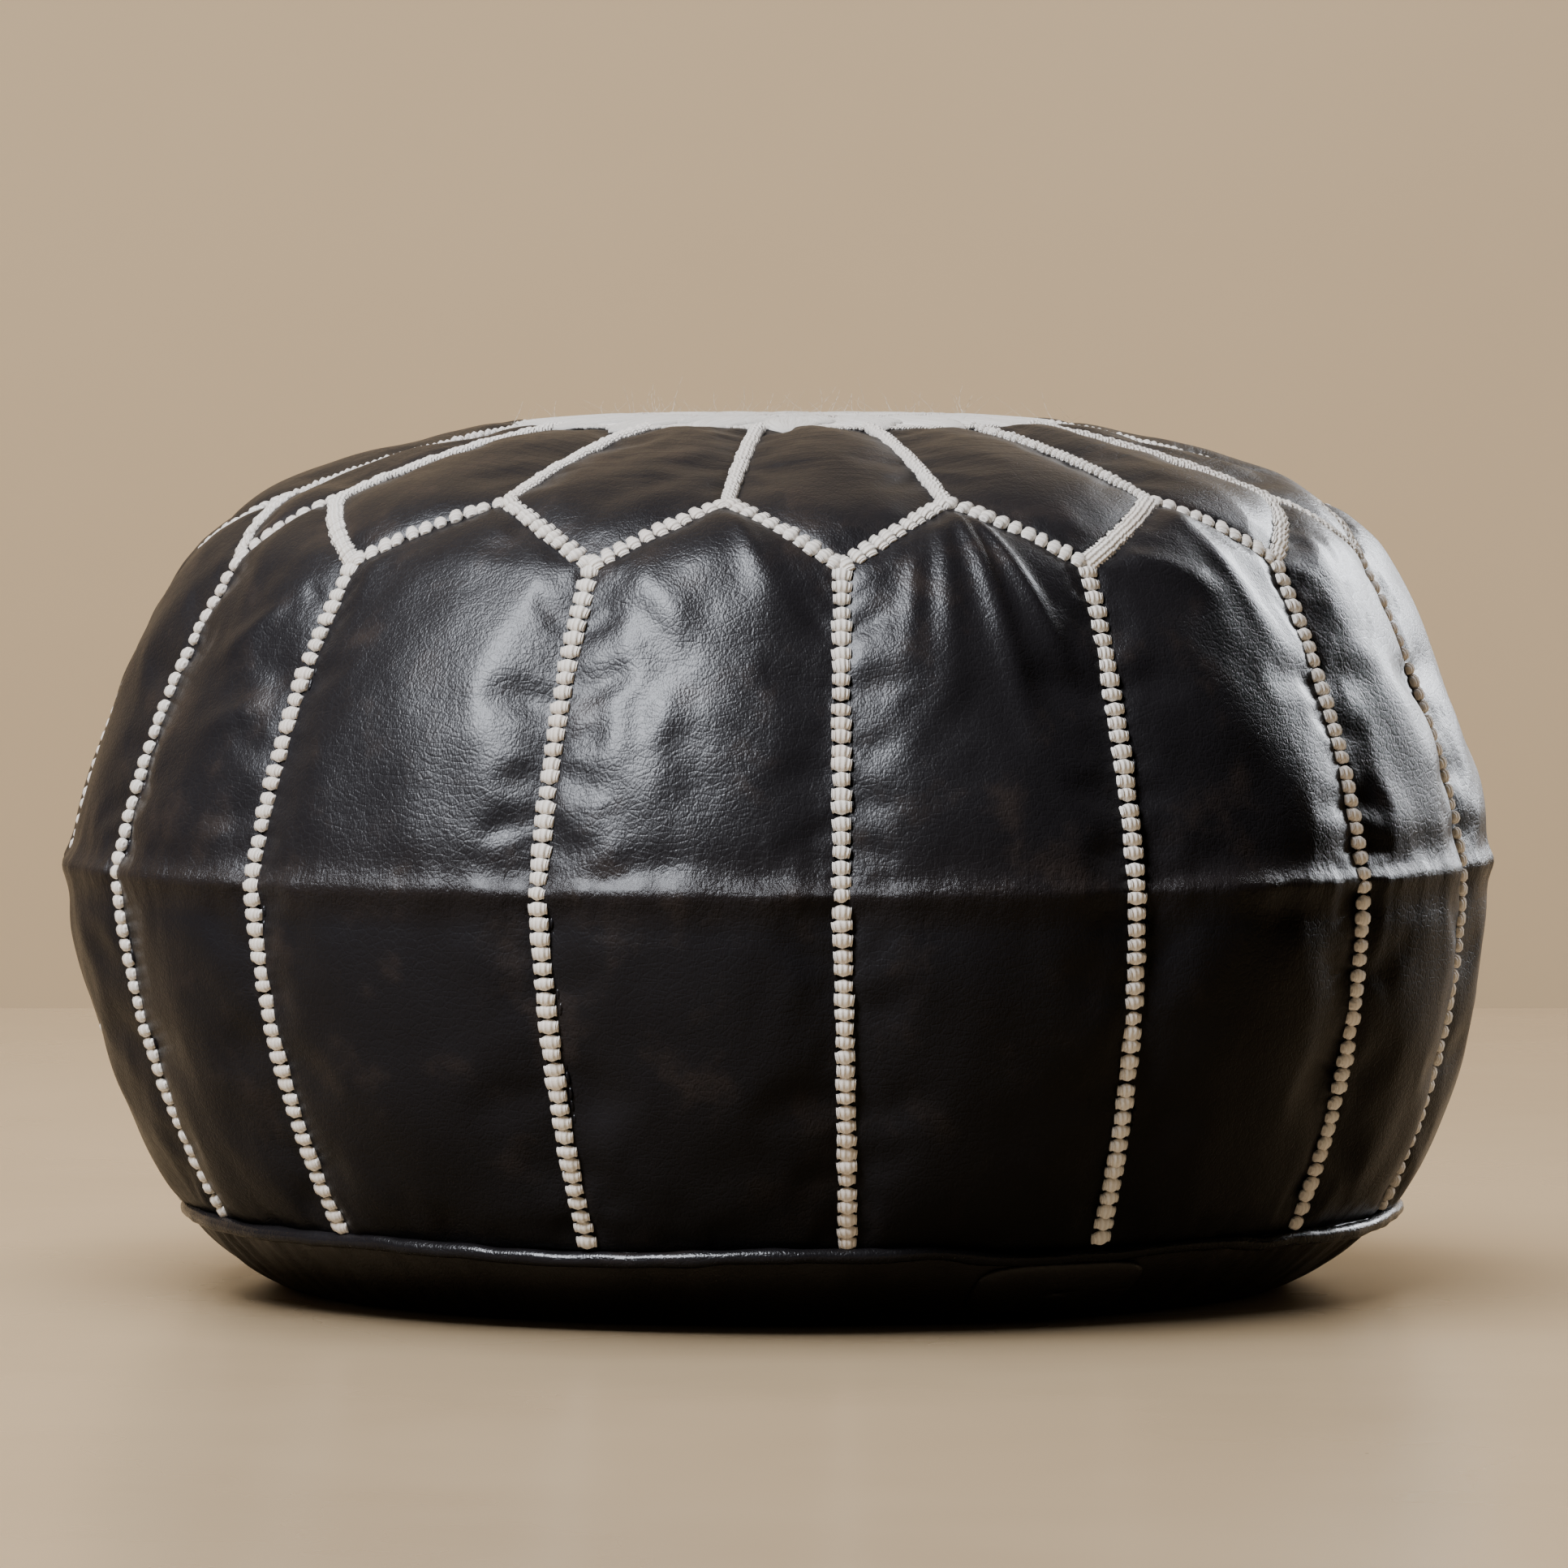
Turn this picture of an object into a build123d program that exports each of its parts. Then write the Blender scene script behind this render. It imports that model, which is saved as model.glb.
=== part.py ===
from build123d import *
from math import cos, degrees, hypot, radians, sin
import os

# A round leather floor pouf, in millimetres, +Z up. It stands on the floor at Z = 0 with its axis on Z
# and its front towards -Y. Tall side panels with pointed tops interlock with top panels round an
# embroidered medallion. Every seam is overcast with thick thread, a leather piping joins the sides to
# the base, and a zip in a shallow pocket under the base lets the stuffing bag in and out.
# A bearing is an angle about the axis, in degrees from the front and positive towards +X.

# Driving dimensions
PANEL_ARCS = [20.1, 20.7, 26.9, 23.6, 24.0, 24.7, 20.5, 22.6, 21.5, 22.9, 21.8, 22.3, 23.0, 21.4, 22.2, 21.8]
FIRST_SEAM = -86.2
PEAK_SHIFTS = {1: -4.5, 2: -0.5, 5: 2.0, 6: 3.5}  # how far these panels' points lie off their middles
TOP_Z, CROWN_R = 338.0, 40.0  # the flat crown
MEDALLION_R, MEDALLION_Z = 102.0, 335.0
PEAK_R, PEAK_Z = 198.0, 308.0  # the side panels' points
VALLEY_R, VALLEY_Z = 229.0, 285.0  # the top panels' points
WIDEST_R, CREASE_Z = 275.0, 165.0  # the fold round the middle
PIPING_R, PIPING_Z = 235.0, 29.0
FOOT_R = 196.0  # edge of the flat that stands on the floor
LEATHER = 1.4
PANEL_GAP = 0.4  # between two panels that are sewn edge to edge

PIPE_CORD_R, PIPE_SKIN, PIPE_PROUD = 2.6, 1.0, 2.6
PIPE_ROOM = 4.2  # how far above and below the piping the panels and the base stop
STITCH_WIDTH, STITCH_HEIGHT, STITCH_LIFT = 7.0, 3.0, 0.2
STITCH_END = 7.0  # a row of stitches stops this far from a junction of seams
EMBROIDERY_R, EMBROIDERY_HEIGHT = 97.5, 2.6

PATCH_BEARING, PATCH_R, PATCH_Z = 27.0, 220.5, 14.6
PATCH_LENGTH, PATCH_WIDTH, PATCH_HEIGHT = 68.0, 30.0, 1.0
PATCH_STITCH_INSET, PATCH_STITCH_WIDTH, PATCH_STITCH_HEIGHT = 2.0, 1.4, 0.8
BASE_SEAM_START, BASE_SEAM_END = 208.0, 227.0  # radii of the stitches where the base's halves meet

POCKET_LENGTH, POCKET_WIDTH, POCKET_DEPTH, POCKET_SLOPE = 316.0, 44.0, 6.4, 24.0
POCKET_CORNER, POCKET_MOUTH_CORNER = 10.0, 32.0
SLIT_LENGTH, SLIT_WIDTH = 296.0, 13.0
ZIP_LENGTH, TAPE_LENGTH, TAPE_WIDTH, TAPE_THICKNESS = 288.0, 306.0, 16.0, 0.8
TOOTH_PITCH, TOOTH_WIDTH, TOOTH_LENGTH, TOOTH_HEIGHT = 4.0, 1.8, 3.4, 2.4
TOOTH_GRIP = 1.4  # how far a tooth's two legs hold the tape
CHANNEL = 1.8  # way between the two rows of teeth for the slider's post
STOP_LENGTH = 2.4
SLIDER_LENGTH, SLIDER_WIDTH, SLIDER_PLATE, SLIDER_WALL = 12.0, 11.0, 1.1, 0.9
POST_LENGTH, WALL_LENGTH = 3.0, 8.0
POST_BACK = 3.0  # how far the post stands behind the slider's middle
PLATE_CORNER, TAB_CORNER, STOP_GAP = 2.0, 1.2, 0.4
RUNNING_GAP = 0.3  # between the slider and the teeth or tapes that it runs along
BRIDGE_LENGTH, BRIDGE_WIDTH, BRIDGE_DROP, BRIDGE_WIRE = 5.6, 2.4, 3.6, 1.0
PULL_LENGTH, PULL_WIDTH, PULL_THICKNESS = 24.0, 6.4, 1.0
EYE_LENGTH, EYE_WIDTH, EYE_BAR = 4.6, 4.0, 1.3
PULL_HOLE_R, PULL_HOLE_INSET = 1.4, 4.0
ZIP_STITCH_LENGTH, ZIP_STITCH_WIDTH, ZIP_STITCH_HEIGHT = 4.4, 1.0, 0.5
ZIP_STITCH_PITCH, ZIP_STITCH_Y = 6.0, 9.5

BAG_INSET, BAG_CLOTH, BAG_OVER_ZIP = 2.2, 0.8, 11.8
STUFFING_INSET, STUFFING_OVER_ZIP = 3.6, 13.4
FAR = 900.0  # larger than the pouf, for cutting
PAST_AXIS = 60.0

PANELS = len(PANEL_ARCS)
SEAM_BEARINGS = [FIRST_SEAM + sum(PANEL_ARCS[:k]) for k in range(PANELS + 1)]
PEAK_BEARINGS = [(SEAM_BEARINGS[k] + SEAM_BEARINGS[k + 1]) / 2 + PEAK_SHIFTS.get(k, 0) for k in range(PANELS)]

os.makedirs("parts", exist_ok=True)


def save(name, shape):
    export_step(shape, f"parts/{name}.step")


def group(shapes):
    """One compound of all the solids in the shapes."""
    return Compound([solid for shape in shapes for solid in shape.solids()])


def place(radius, bearing, z):
    return Vector(radius * sin(radians(bearing)), -radius * cos(radians(bearing)), z)


# The outline of the pouf, the layers under and over it, and turning them about the axis
def retraced(edge):
    """The same line or arc drawn afresh. A moved arc keeps a sense that spoils later cuts."""
    if edge.geom_type == GeomType.LINE:
        return Line(edge @ 0, edge @ 1)
    return ThreePointArc(edge @ 0, edge @ 0.5, edge @ 1)


def outline(inset):
    """Half the outline in the XZ plane, moved in by inset, or out where inset is negative.

    It runs past the axis, so that the moved outline still meets the axis squarely."""
    face = make_face(Wire([
        Line((-PAST_AXIS, TOP_Z), (CROWN_R, TOP_Z)),
        ThreePointArc((CROWN_R, TOP_Z), (74, 337.1), (MEDALLION_R, MEDALLION_Z)),
        ThreePointArc((MEDALLION_R, MEDALLION_Z), (152, 323.8), (PEAK_R, PEAK_Z)),
        ThreePointArc((PEAK_R, PEAK_Z), (215.5, 298), (VALLEY_R, VALLEY_Z)),
        ThreePointArc((VALLEY_R, VALLEY_Z), (258, 226), (WIDEST_R, CREASE_Z)),
        ThreePointArc((WIDEST_R, CREASE_Z), (263, 95), (PIPING_R, PIPING_Z)),
        ThreePointArc((PIPING_R, PIPING_Z), (218.5, 13), (FOOT_R, 0)),
        Line((FOOT_R, 0), (-PAST_AXIS, 0)),
        Line((-PAST_AXIS, 0), (-PAST_AXIS, TOP_Z)),
    ]))
    if not inset:
        return face
    moved = offset(face, amount=-inset, kind=Kind.INTERSECTION).wire().edges()
    return make_face(Wire([retraced(edge) for edge in moved]))


def window(near, far, low, high):
    """A rectangle in the XZ plane between two radii and two heights."""
    return Pos((near + far) / 2, (low + high) / 2) * Rectangle(far - near, high - low)


def layer(inside, outside, near, far, low, high):
    """The layer between two depths, inside a window. Negative depths are above the surface."""
    return (outline(outside) - outline(inside)) & window(near, far, low, high)


def turn(section, first_bearing=0, last_bearing=360):
    """The section turned about the axis, back from the last bearing to the first."""
    solid = revolve(Plane.XZ * section, -Axis.Z, revolution_arc=last_bearing - first_bearing)
    return Rot(0, 0, last_bearing - 90) * solid


def filled(inset, high):
    """The solid body under that depth, up to that height."""
    return turn(outline(inset) & window(0, FAR, -FAR, high))


# The seams of the top, each straight between two corners of the panels
def valley(k):
    return place(VALLEY_R, SEAM_BEARINGS[k], VALLEY_Z)


def peak(k):
    return place(PEAK_R, PEAK_BEARINGS[k], PEAK_Z)


def out_of_skin(start, end):
    """The way out of the skin at the middle of a seam of the top."""
    middle = (start + end) / 2
    run = hypot(end.X, end.Y) - hypot(start.X, start.Y)
    out = Vector(middle.X, middle.Y, 0).normalized() * (start.Z - end.Z) + Vector(0, 0, run)
    return out if out.Z > 0 else -out


def seam_frame(start, end):
    """A frame at the middle of a seam: X along it, Z in the skin towards the medallion."""
    facing = out_of_skin(start, end).cross(end - start).normalized()
    return Plane(origin=(start + end) / 2, x_dir=end - start, z_dir=facing)


def beyond_seam(start, end, side):
    """Everything on one side of a seam, with half a panel gap. Side 1 is towards the medallion."""
    return seam_frame(start, end) * Pos(0, 0, side * (FAR - PANEL_GAP) / 2) * Box(FAR, FAR, FAR)


def seam_box(start, end):
    """A box along a seam, as wide as the stitches, that stops short of the junctions."""
    length = (end - start).length - 2 * STITCH_END
    return seam_frame(start, end) * Box(length, 10 * STITCH_HEIGHT, STITCH_WIDTH)


# The side panels and the top panels
def panel_sector(section, first_bearing, last_bearing, radius):
    """A turned section between two bearings, less half a panel gap at each side at that radius."""
    clear = degrees(PANEL_GAP / 2 / radius)
    return turn(section, first_bearing + clear, last_bearing - clear)


def side_panel(k):
    """A tall panel from the piping up to its point, between side seams k and k + 1."""
    section = layer(LEATHER, 0, 0, FAR, PIPING_Z + PIPE_ROOM, PEAK_Z + 4)
    panel = panel_sector(section, SEAM_BEARINGS[k], SEAM_BEARINGS[k + 1], VALLEY_R)
    return panel - beyond_seam(valley(k), peak(k), 1) - beyond_seam(peak(k), valley(k + 1), 1)


def top_panel(k):
    """A panel from the medallion's edge down to its point at side seam k."""
    section = layer(LEATHER, 0, MEDALLION_R + PANEL_GAP / 2, FAR, VALLEY_Z - 8, TOP_Z)
    last_peak = PEAK_BEARINGS[k - 1] - (360 if k == 0 else 0)
    panel = panel_sector(section, last_peak, PEAK_BEARINGS[k], MEDALLION_R)
    return panel - beyond_seam(peak(k - 1), valley(k), -1) - beyond_seam(valley(k), peak(k), -1)


for k in range(PANELS):
    save(f"side_panel_{k + 1:02d}", side_panel(k))
    save(f"top_panel_{k + 1:02d}", top_panel(k))

# The embroidered medallion in the middle of the top: a leather disc under a thick layer of thread
disc_section = layer(LEATHER, 0, 0, MEDALLION_R - PANEL_GAP / 2, VALLEY_Z, FAR)
save("medallion_disc", turn(disc_section))
satin_section = layer(-STITCH_LIFT, -STITCH_LIFT - EMBROIDERY_HEIGHT, 0, EMBROIDERY_R, VALLEY_Z, FAR)
save("medallion_embroidery", turn(satin_section))


# Rows of thick overcast stitches, each a strip that lies over its seam
def stitch_layer(near, far, low, high):
    return layer(-STITCH_LIFT, -STITCH_LIFT - STITCH_HEIGHT, near, far, low, high)


ring_section = stitch_layer(MEDALLION_R - STITCH_WIDTH / 2, MEDALLION_R + STITCH_WIDTH / 2, VALLEY_Z, FAR)
save("medallion_ring_stitching", turn(ring_section))

top_stitches = stitch_layer(MEDALLION_R, FAR, VALLEY_Z - 8, FAR)
side_stitches = stitch_layer(0, FAR, PIPING_Z + PIPE_ROOM + STITCH_HEIGHT, VALLEY_Z - STITCH_END)
half_width = degrees(STITCH_WIDTH / 2 / WIDEST_R)
radial_rows, zigzag_rows, side_rows = [], [], []
for k in range(PANELS):
    over_panel = turn(top_stitches, SEAM_BEARINGS[k] - 2, SEAM_BEARINGS[k + 1] + 2)
    medallion_edge = place(MEDALLION_R, PEAK_BEARINGS[k], MEDALLION_Z)
    radial_rows.append(over_panel & seam_box(medallion_edge, peak(k)))
    zigzag_rows.append(over_panel & seam_box(valley(k), peak(k)))
    zigzag_rows.append(over_panel & seam_box(peak(k), valley(k + 1)))
    side_rows.append(turn(side_stitches, SEAM_BEARINGS[k] - half_width, SEAM_BEARINGS[k] + half_width))
save("radial_seam_stitching", group(radial_rows))
save("zigzag_seam_stitching", group(zigzag_rows))
save("side_seam_stitching", group(side_rows))

# The piping: a cord in a leather cover, which is open where its two edges go into the seam
pipe_centre = Pos(PIPING_R + PIPE_PROUD, PIPING_Z)
cover_section = pipe_centre * (Circle(PIPE_CORD_R + PIPE_SKIN) - Circle(PIPE_CORD_R))
cover_section -= window(0, PIPING_R + PIPE_PROUD, PIPING_Z - PANEL_GAP / 2, PIPING_Z + PANEL_GAP / 2)
save("piping_cover", turn(cover_section))
save("piping_cord", turn(pipe_centre * Circle(PIPE_CORD_R - 0.05)))


# The base in two halves, lifted into a shallow pocket round the zip
def pocket(low, high):
    """The space of the zip's pocket, wide at its mouth and narrow at its ceiling."""
    mouth_length, mouth_width = POCKET_LENGTH + 2 * POCKET_SLOPE, POCKET_WIDTH + 2 * POCKET_SLOPE
    mouth = RectangleRounded(mouth_length, mouth_width, POCKET_MOUTH_CORNER)
    ceiling = RectangleRounded(POCKET_LENGTH, POCKET_WIDTH, POCKET_CORNER)
    return loft([Pos(0, 0, low) * mouth, Pos(0, 0, high) * ceiling])


base_outside = filled(0, PIPING_Z - PIPE_ROOM) - pocket(0, POCKET_DEPTH)
base_inside = filled(LEATHER, PIPING_Z + PIPE_ROOM) - pocket(LEATHER, POCKET_DEPTH + LEATHER)
base = base_outside - base_inside - Pos(0, 0, POCKET_DEPTH) * Box(SLIT_LENGTH, SLIT_WIDTH, 8 * LEATHER)
for name, shift, keep in (("front", -PANEL_GAP / 2, Keep.BOTTOM), ("back", PANEL_GAP / 2, Keep.TOP)):
    seam = Plane(origin=(0, shift, 0), z_dir=(0, 1, 0))
    save(f"base_{name}_half", split(base, bisect_by=seam, keep=keep))

# Rows of stitches over the seam between the two halves, on the slopes beyond the zip's two ends
slope_stitches = stitch_layer(BASE_SEAM_START, BASE_SEAM_END, -FAR, PIPING_Z - PIPE_ROOM)
save("base_seam_stitching", group([turn(slope_stitches, b - half_width, b + half_width) for b in (-90, 90)]))

# The repair patch on the slope of the base, and the band of stitches round it
slope_frame = Plane(
    origin=place(PATCH_R, PATCH_BEARING, PATCH_Z),
    x_dir=place(1, PATCH_BEARING + 90, 0),
    z_dir=place(0.62, PATCH_BEARING, -0.78),
)
patch_outline = RectangleRounded(PATCH_LENGTH, PATCH_WIDTH, PATCH_WIDTH * 0.4)
band_outside = offset(patch_outline, -PATCH_STITCH_INSET)
band_outline = band_outside - offset(band_outside, -PATCH_STITCH_WIDTH)
patch_top = -STITCH_LIFT - PATCH_HEIGHT
band_bottom = patch_top - STITCH_LIFT
patch_section = layer(-STITCH_LIFT, patch_top, FOOT_R, PIPING_R, -FAR, PIPING_Z)
band_section = layer(band_bottom, band_bottom - PATCH_STITCH_HEIGHT, FOOT_R, PIPING_R, -FAR, PIPING_Z)
for name, section, shape in (
    ("base_patch", patch_section, patch_outline),
    ("base_patch_stitching", band_section, band_outline),
):
    column = extrude(slope_frame * shape, PATCH_WIDTH, both=True)
    save(name, turn(section, PATCH_BEARING - 15, PATCH_BEARING + 15) & column)

# The zip: two tapes with a row of metal teeth each, an end stop at each end, and the slider
TAPE_Z = POCKET_DEPTH + LEATHER + TAPE_THICKNESS / 2
TAPE_EDGE = CHANNEL / 2 + TOOTH_LENGTH - TOOTH_GRIP


def zip_tape(side):
    return Pos(0, side * (TAPE_EDGE + TAPE_WIDTH / 2), TAPE_Z) * Box(TAPE_LENGTH, TAPE_WIDTH, TAPE_THICKNESS)


def zip_teeth(side):
    """A row of teeth, each notched to hold its tape. The back row is half a pitch further along."""
    count = int(ZIP_LENGTH / TOOTH_PITCH) - 1
    start = -(count - 1) / 2 * TOOTH_PITCH + side * TOOTH_PITCH / 4
    middle = Pos(0, side * (CHANNEL / 2 + TOOTH_LENGTH / 2), TAPE_Z)
    tooth = middle * Box(TOOTH_WIDTH, TOOTH_LENGTH, TOOTH_HEIGHT) - zip_tape(side)
    return group([Pos(start + i * TOOTH_PITCH, 0, 0) * tooth for i in range(count)])


def zip_stop(x):
    """A bar across both tapes beyond the last tooth, notched for each tape."""
    bar = Pos(x, 0, TAPE_Z) * Box(STOP_LENGTH, CHANNEL + 2 * TOOTH_LENGTH, TOOTH_HEIGHT)
    return bar - zip_tape(-1) - zip_tape(1)


for name, side in (("front", -1), ("back", 1)):
    save(f"zip_tape_{name}", zip_tape(side))
    save(f"zip_teeth_{name}", zip_teeth(side))
stop_x = (SLIT_LENGTH - STOP_LENGTH) / 2 - STOP_GAP
save("zip_bottom_stop", zip_stop(stop_x))
save("zip_top_stop", zip_stop(-stop_x))

# Where the slider rests when the zip is shut, against the top stop, and the planes of its plates
SLIDER_X = -stop_x + (STOP_LENGTH + SLIDER_LENGTH) / 2 + 2 * RUNNING_GAP
OUTER_PLATE_Z = TAPE_Z - TOOTH_HEIGHT / 2 - RUNNING_GAP - SLIDER_PLATE / 2
INNER_PLATE_Z = TAPE_Z + TOOTH_HEIGHT / 2 + RUNNING_GAP + SLIDER_PLATE / 2
BRIDGE_TOP = OUTER_PLATE_Z - SLIDER_PLATE / 2
PULL_Z = BRIDGE_TOP - (BRIDGE_DROP - BRIDGE_WIRE) / 2


def slider():
    """Two plates joined by a post in the channel, side walls that guide the teeth, and a bridge."""
    plate = extrude(RectangleRounded(SLIDER_LENGTH, SLIDER_WIDTH, PLATE_CORNER), SLIDER_PLATE / 2, both=True)
    post = Box(POST_LENGTH, CHANNEL - 2 * RUNNING_GAP, INNER_PLATE_Z - OUTER_PLATE_Z)
    shape = Pos(0, 0, OUTER_PLATE_Z) * plate + Pos(0, 0, INNER_PLATE_Z) * plate + Pos(-POST_BACK, 0, TAPE_Z) * post
    wall_height = INNER_PLATE_Z - TAPE_Z - TAPE_THICKNESS / 2 - RUNNING_GAP
    wall = Box(WALL_LENGTH, SLIDER_WALL, wall_height)
    for side in (-1, 1):
        wall_y = side * (SLIDER_WIDTH - SLIDER_WALL) / 2
        shape += Pos(0, wall_y, OUTER_PLATE_Z + wall_height / 2) * wall
        shape += Pos(0, wall_y, INNER_PLATE_Z - wall_height / 2) * wall
    bridge = Box(BRIDGE_LENGTH, BRIDGE_WIDTH, BRIDGE_DROP + 0.1)
    bridge -= Pos(0, 0, BRIDGE_WIRE / 2) * Box(BRIDGE_LENGTH - 2 * BRIDGE_WIRE, FAR, BRIDGE_DROP - BRIDGE_WIRE + 0.1)
    return Pos(SLIDER_X, 0, 0) * (shape + Pos(0, 0, BRIDGE_TOP - BRIDGE_DROP / 2 + 0.05) * bridge)


def pull_tab():
    """A flat tab along the zip. The bar at the end of its eye passes through the slider's bridge."""
    shape = RectangleRounded(PULL_LENGTH, PULL_WIDTH, TAB_CORNER)
    shape -= Pos(-PULL_LENGTH / 2 + EYE_BAR + EYE_LENGTH / 2, 0) * Rectangle(EYE_LENGTH, EYE_WIDTH)
    shape -= Pos(PULL_LENGTH / 2 - PULL_HOLE_INSET, 0) * Circle(PULL_HOLE_R)
    tab = extrude(shape, PULL_THICKNESS / 2, both=True)
    return Pos(SLIDER_X + (PULL_LENGTH - EYE_BAR) / 2, 0, PULL_Z) * tab


save("zip_slider", slider())
save("zip_pull_tab", pull_tab())

# Two rows of small stitches that hold the zip's tapes to the leather of the pocket
stitch_count = int(SLIT_LENGTH / ZIP_STITCH_PITCH)
row_x = [(i - (stitch_count - 1) / 2) * ZIP_STITCH_PITCH for i in range(stitch_count)]
stitch = Box(ZIP_STITCH_LENGTH, ZIP_STITCH_WIDTH, ZIP_STITCH_HEIGHT)
stitch_z = POCKET_DEPTH - 0.1 - ZIP_STITCH_HEIGHT / 2
save("zip_stitching", group([Pos(x, y, stitch_z) * stitch for x in row_x for y in (-ZIP_STITCH_Y, ZIP_STITCH_Y)]))

# Inside: the cotton bag, and the stuffing that fills it. Both rise over the zip.
bag_outside = filled(BAG_INSET, FAR) - pocket(BAG_INSET, BAG_OVER_ZIP)
bag_inside = filled(BAG_INSET + BAG_CLOTH, FAR) - pocket(BAG_INSET + BAG_CLOTH, BAG_OVER_ZIP + BAG_CLOTH)
save("insert_cover", bag_outside - bag_inside)
save("stuffing", filled(STUFFING_INSET, FAR) - pocket(STUFFING_INSET, STUFFING_OVER_ZIP))
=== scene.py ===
import math
import random

import bpy
import numpy as np
from mathutils import Matrix, Vector, noise


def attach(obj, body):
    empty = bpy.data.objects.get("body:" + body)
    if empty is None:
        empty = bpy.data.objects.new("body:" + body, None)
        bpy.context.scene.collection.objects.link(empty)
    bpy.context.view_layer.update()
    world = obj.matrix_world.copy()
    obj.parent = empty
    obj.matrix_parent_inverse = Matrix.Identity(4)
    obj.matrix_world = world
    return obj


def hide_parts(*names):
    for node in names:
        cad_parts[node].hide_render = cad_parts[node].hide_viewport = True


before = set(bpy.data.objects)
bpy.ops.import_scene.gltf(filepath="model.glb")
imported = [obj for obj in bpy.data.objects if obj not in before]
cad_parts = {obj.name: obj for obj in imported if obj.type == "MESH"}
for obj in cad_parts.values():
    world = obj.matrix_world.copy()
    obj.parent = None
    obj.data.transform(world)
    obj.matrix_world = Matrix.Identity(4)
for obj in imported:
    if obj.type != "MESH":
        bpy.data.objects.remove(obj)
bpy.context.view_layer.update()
random.seed(16)


# The shape of the cover. Sixteen goat-leather side panels and sixteen top panels are sewn edge to edge,
# and the stuffing rounds them out. The outline is five arcs from the piping up to the medallion, and
# every piece of the cover is laid out by its bearing from the front and its way up that outline.
PANEL_ARCS = [  # in degrees, as all bearings here
    20.1, 20.7, 26.9, 23.6, 24.0, 24.7, 20.5, 22.6, 21.5, 22.9, 21.8, 22.3, 23.0, 21.4, 22.2, 21.8,
]
FIRST_SEAM = -86.2
PANELS = len(PANEL_ARCS)
SEAMS = [FIRST_SEAM + sum(PANEL_ARCS[:k]) for k in range(PANELS + 1)]
PEAK_SHIFTS = {1: -4.5, 2: -0.5, 5: 2.0, 6: 3.5}
PEAKS = [(SEAMS[k] + SEAMS[k + 1]) / 2 + PEAK_SHIFTS.get(k, 0) for k in range(PANELS)]
PIPING, CREASE, VALLEY = (0.235, 0.029), (0.275, 0.165), (0.229, 0.285)
PEAK, MEDALLION_EDGE, CROWN = (0.198, 0.308), (0.102, 0.335), (0.04, 0.338)
LEAN_HEIGHTS = [0, 0.03, 0.09, 0.165, 0.24, 0.30, 0.338]
LEAN = [0.002, 0.005, 0.002, -0.001, 0.001, 0.0045, 0.005]
ARC_POINTS = 40


def arc(start, via, end):
    """Points of the round arc from start through via to end, in the plane of radius and height."""
    (ax, ay), (bx, by), (cx, cy) = start, via, end
    d = 2 * (ax * (by - cy) + bx * (cy - ay) + cx * (ay - by))
    a2, b2, c2 = ax * ax + ay * ay, bx * bx + by * by, cx * cx + cy * cy
    x = (a2 * (by - cy) + b2 * (cy - ay) + c2 * (ay - by)) / d
    y = (a2 * (cx - bx) + b2 * (ax - cx) + c2 * (bx - ax)) / d
    first, last = math.atan2(ay - y, ax - x), math.atan2(cy - y, cx - x)
    turn = (last - first + math.pi) % (2 * math.pi) - math.pi
    angles = first + turn * np.linspace(0, 1, ARC_POINTS)
    radius = math.hypot(ax - x, ay - y)
    return np.stack([x + radius * np.cos(angles), y + radius * np.sin(angles)], 1)


arcs = [
    arc(PIPING, (0.263, 0.095), CREASE),
    arc(CREASE, (0.258, 0.226), VALLEY),
    arc(VALLEY, (0.2155, 0.298), PEAK),
    arc(PEAK, (0.152, 0.3238), MEDALLION_EDGE),
    arc(MEDALLION_EDGE, (0.074, 0.3371), CROWN),
]
line = np.concatenate([a if i == 0 else a[1:] for i, a in enumerate(arcs)] + [[(0.0, CROWN[1])]])
way = np.concatenate([[0], np.cumsum(np.hypot(*np.diff(line, axis=0).T))])
U_CREASE, U_VALLEY, U_PEAK, U_MEDALLION = (way[(ARC_POINTS - 1) * k] for k in (1, 2, 3, 4))
FINE_POINTS, ROUNDED_POINTS = 1200, 23
fine_way = np.linspace(0, way[-1], FINE_POINTS)
fine_line = np.stack([np.interp(fine_way, way, line[:, i]) for i in (0, 1)], 1)
slope = np.gradient(fine_line, fine_way, axis=0)
rounding = np.hanning(ROUNDED_POINTS) / np.hanning(ROUNDED_POINTS).sum()
beyond = ROUNDED_POINTS // 2
padded_slope = np.concatenate([slope[:1].repeat(beyond, 0), slope, slope[-1:].repeat(beyond, 0)])
slope = np.stack([np.convolve(padded_slope[:, i], rounding, "valid") for i in (0, 1)], 1)


def on_cover(bearing, u, lift=0.0):
    """Points of the cover at those bearings in degrees and ways up the outline, lifted off it."""
    bearing, u = np.radians(bearing), np.clip(u, 0, way[-1])
    r, z = (np.interp(u, fine_way, fine_line[:, i]) for i in (0, 1))
    dr, dz = (np.interp(u, fine_way, slope[:, i]) for i in (0, 1))
    length = np.hypot(dr, dz)
    r, z = r + lift * dz / length, z - lift * dr / length
    x = r * np.sin(bearing) + np.interp(z, LEAN_HEIGHTS, LEAN)
    return np.stack([x, -r * np.cos(bearing), z + 0 * x], -1)


def outward(bearing, u):
    """The direction straight out of the cover at those bearings and ways up the outline."""
    return (on_cover(bearing, u, 0.001) - on_cover(bearing, u, 0)) / 0.001


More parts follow.
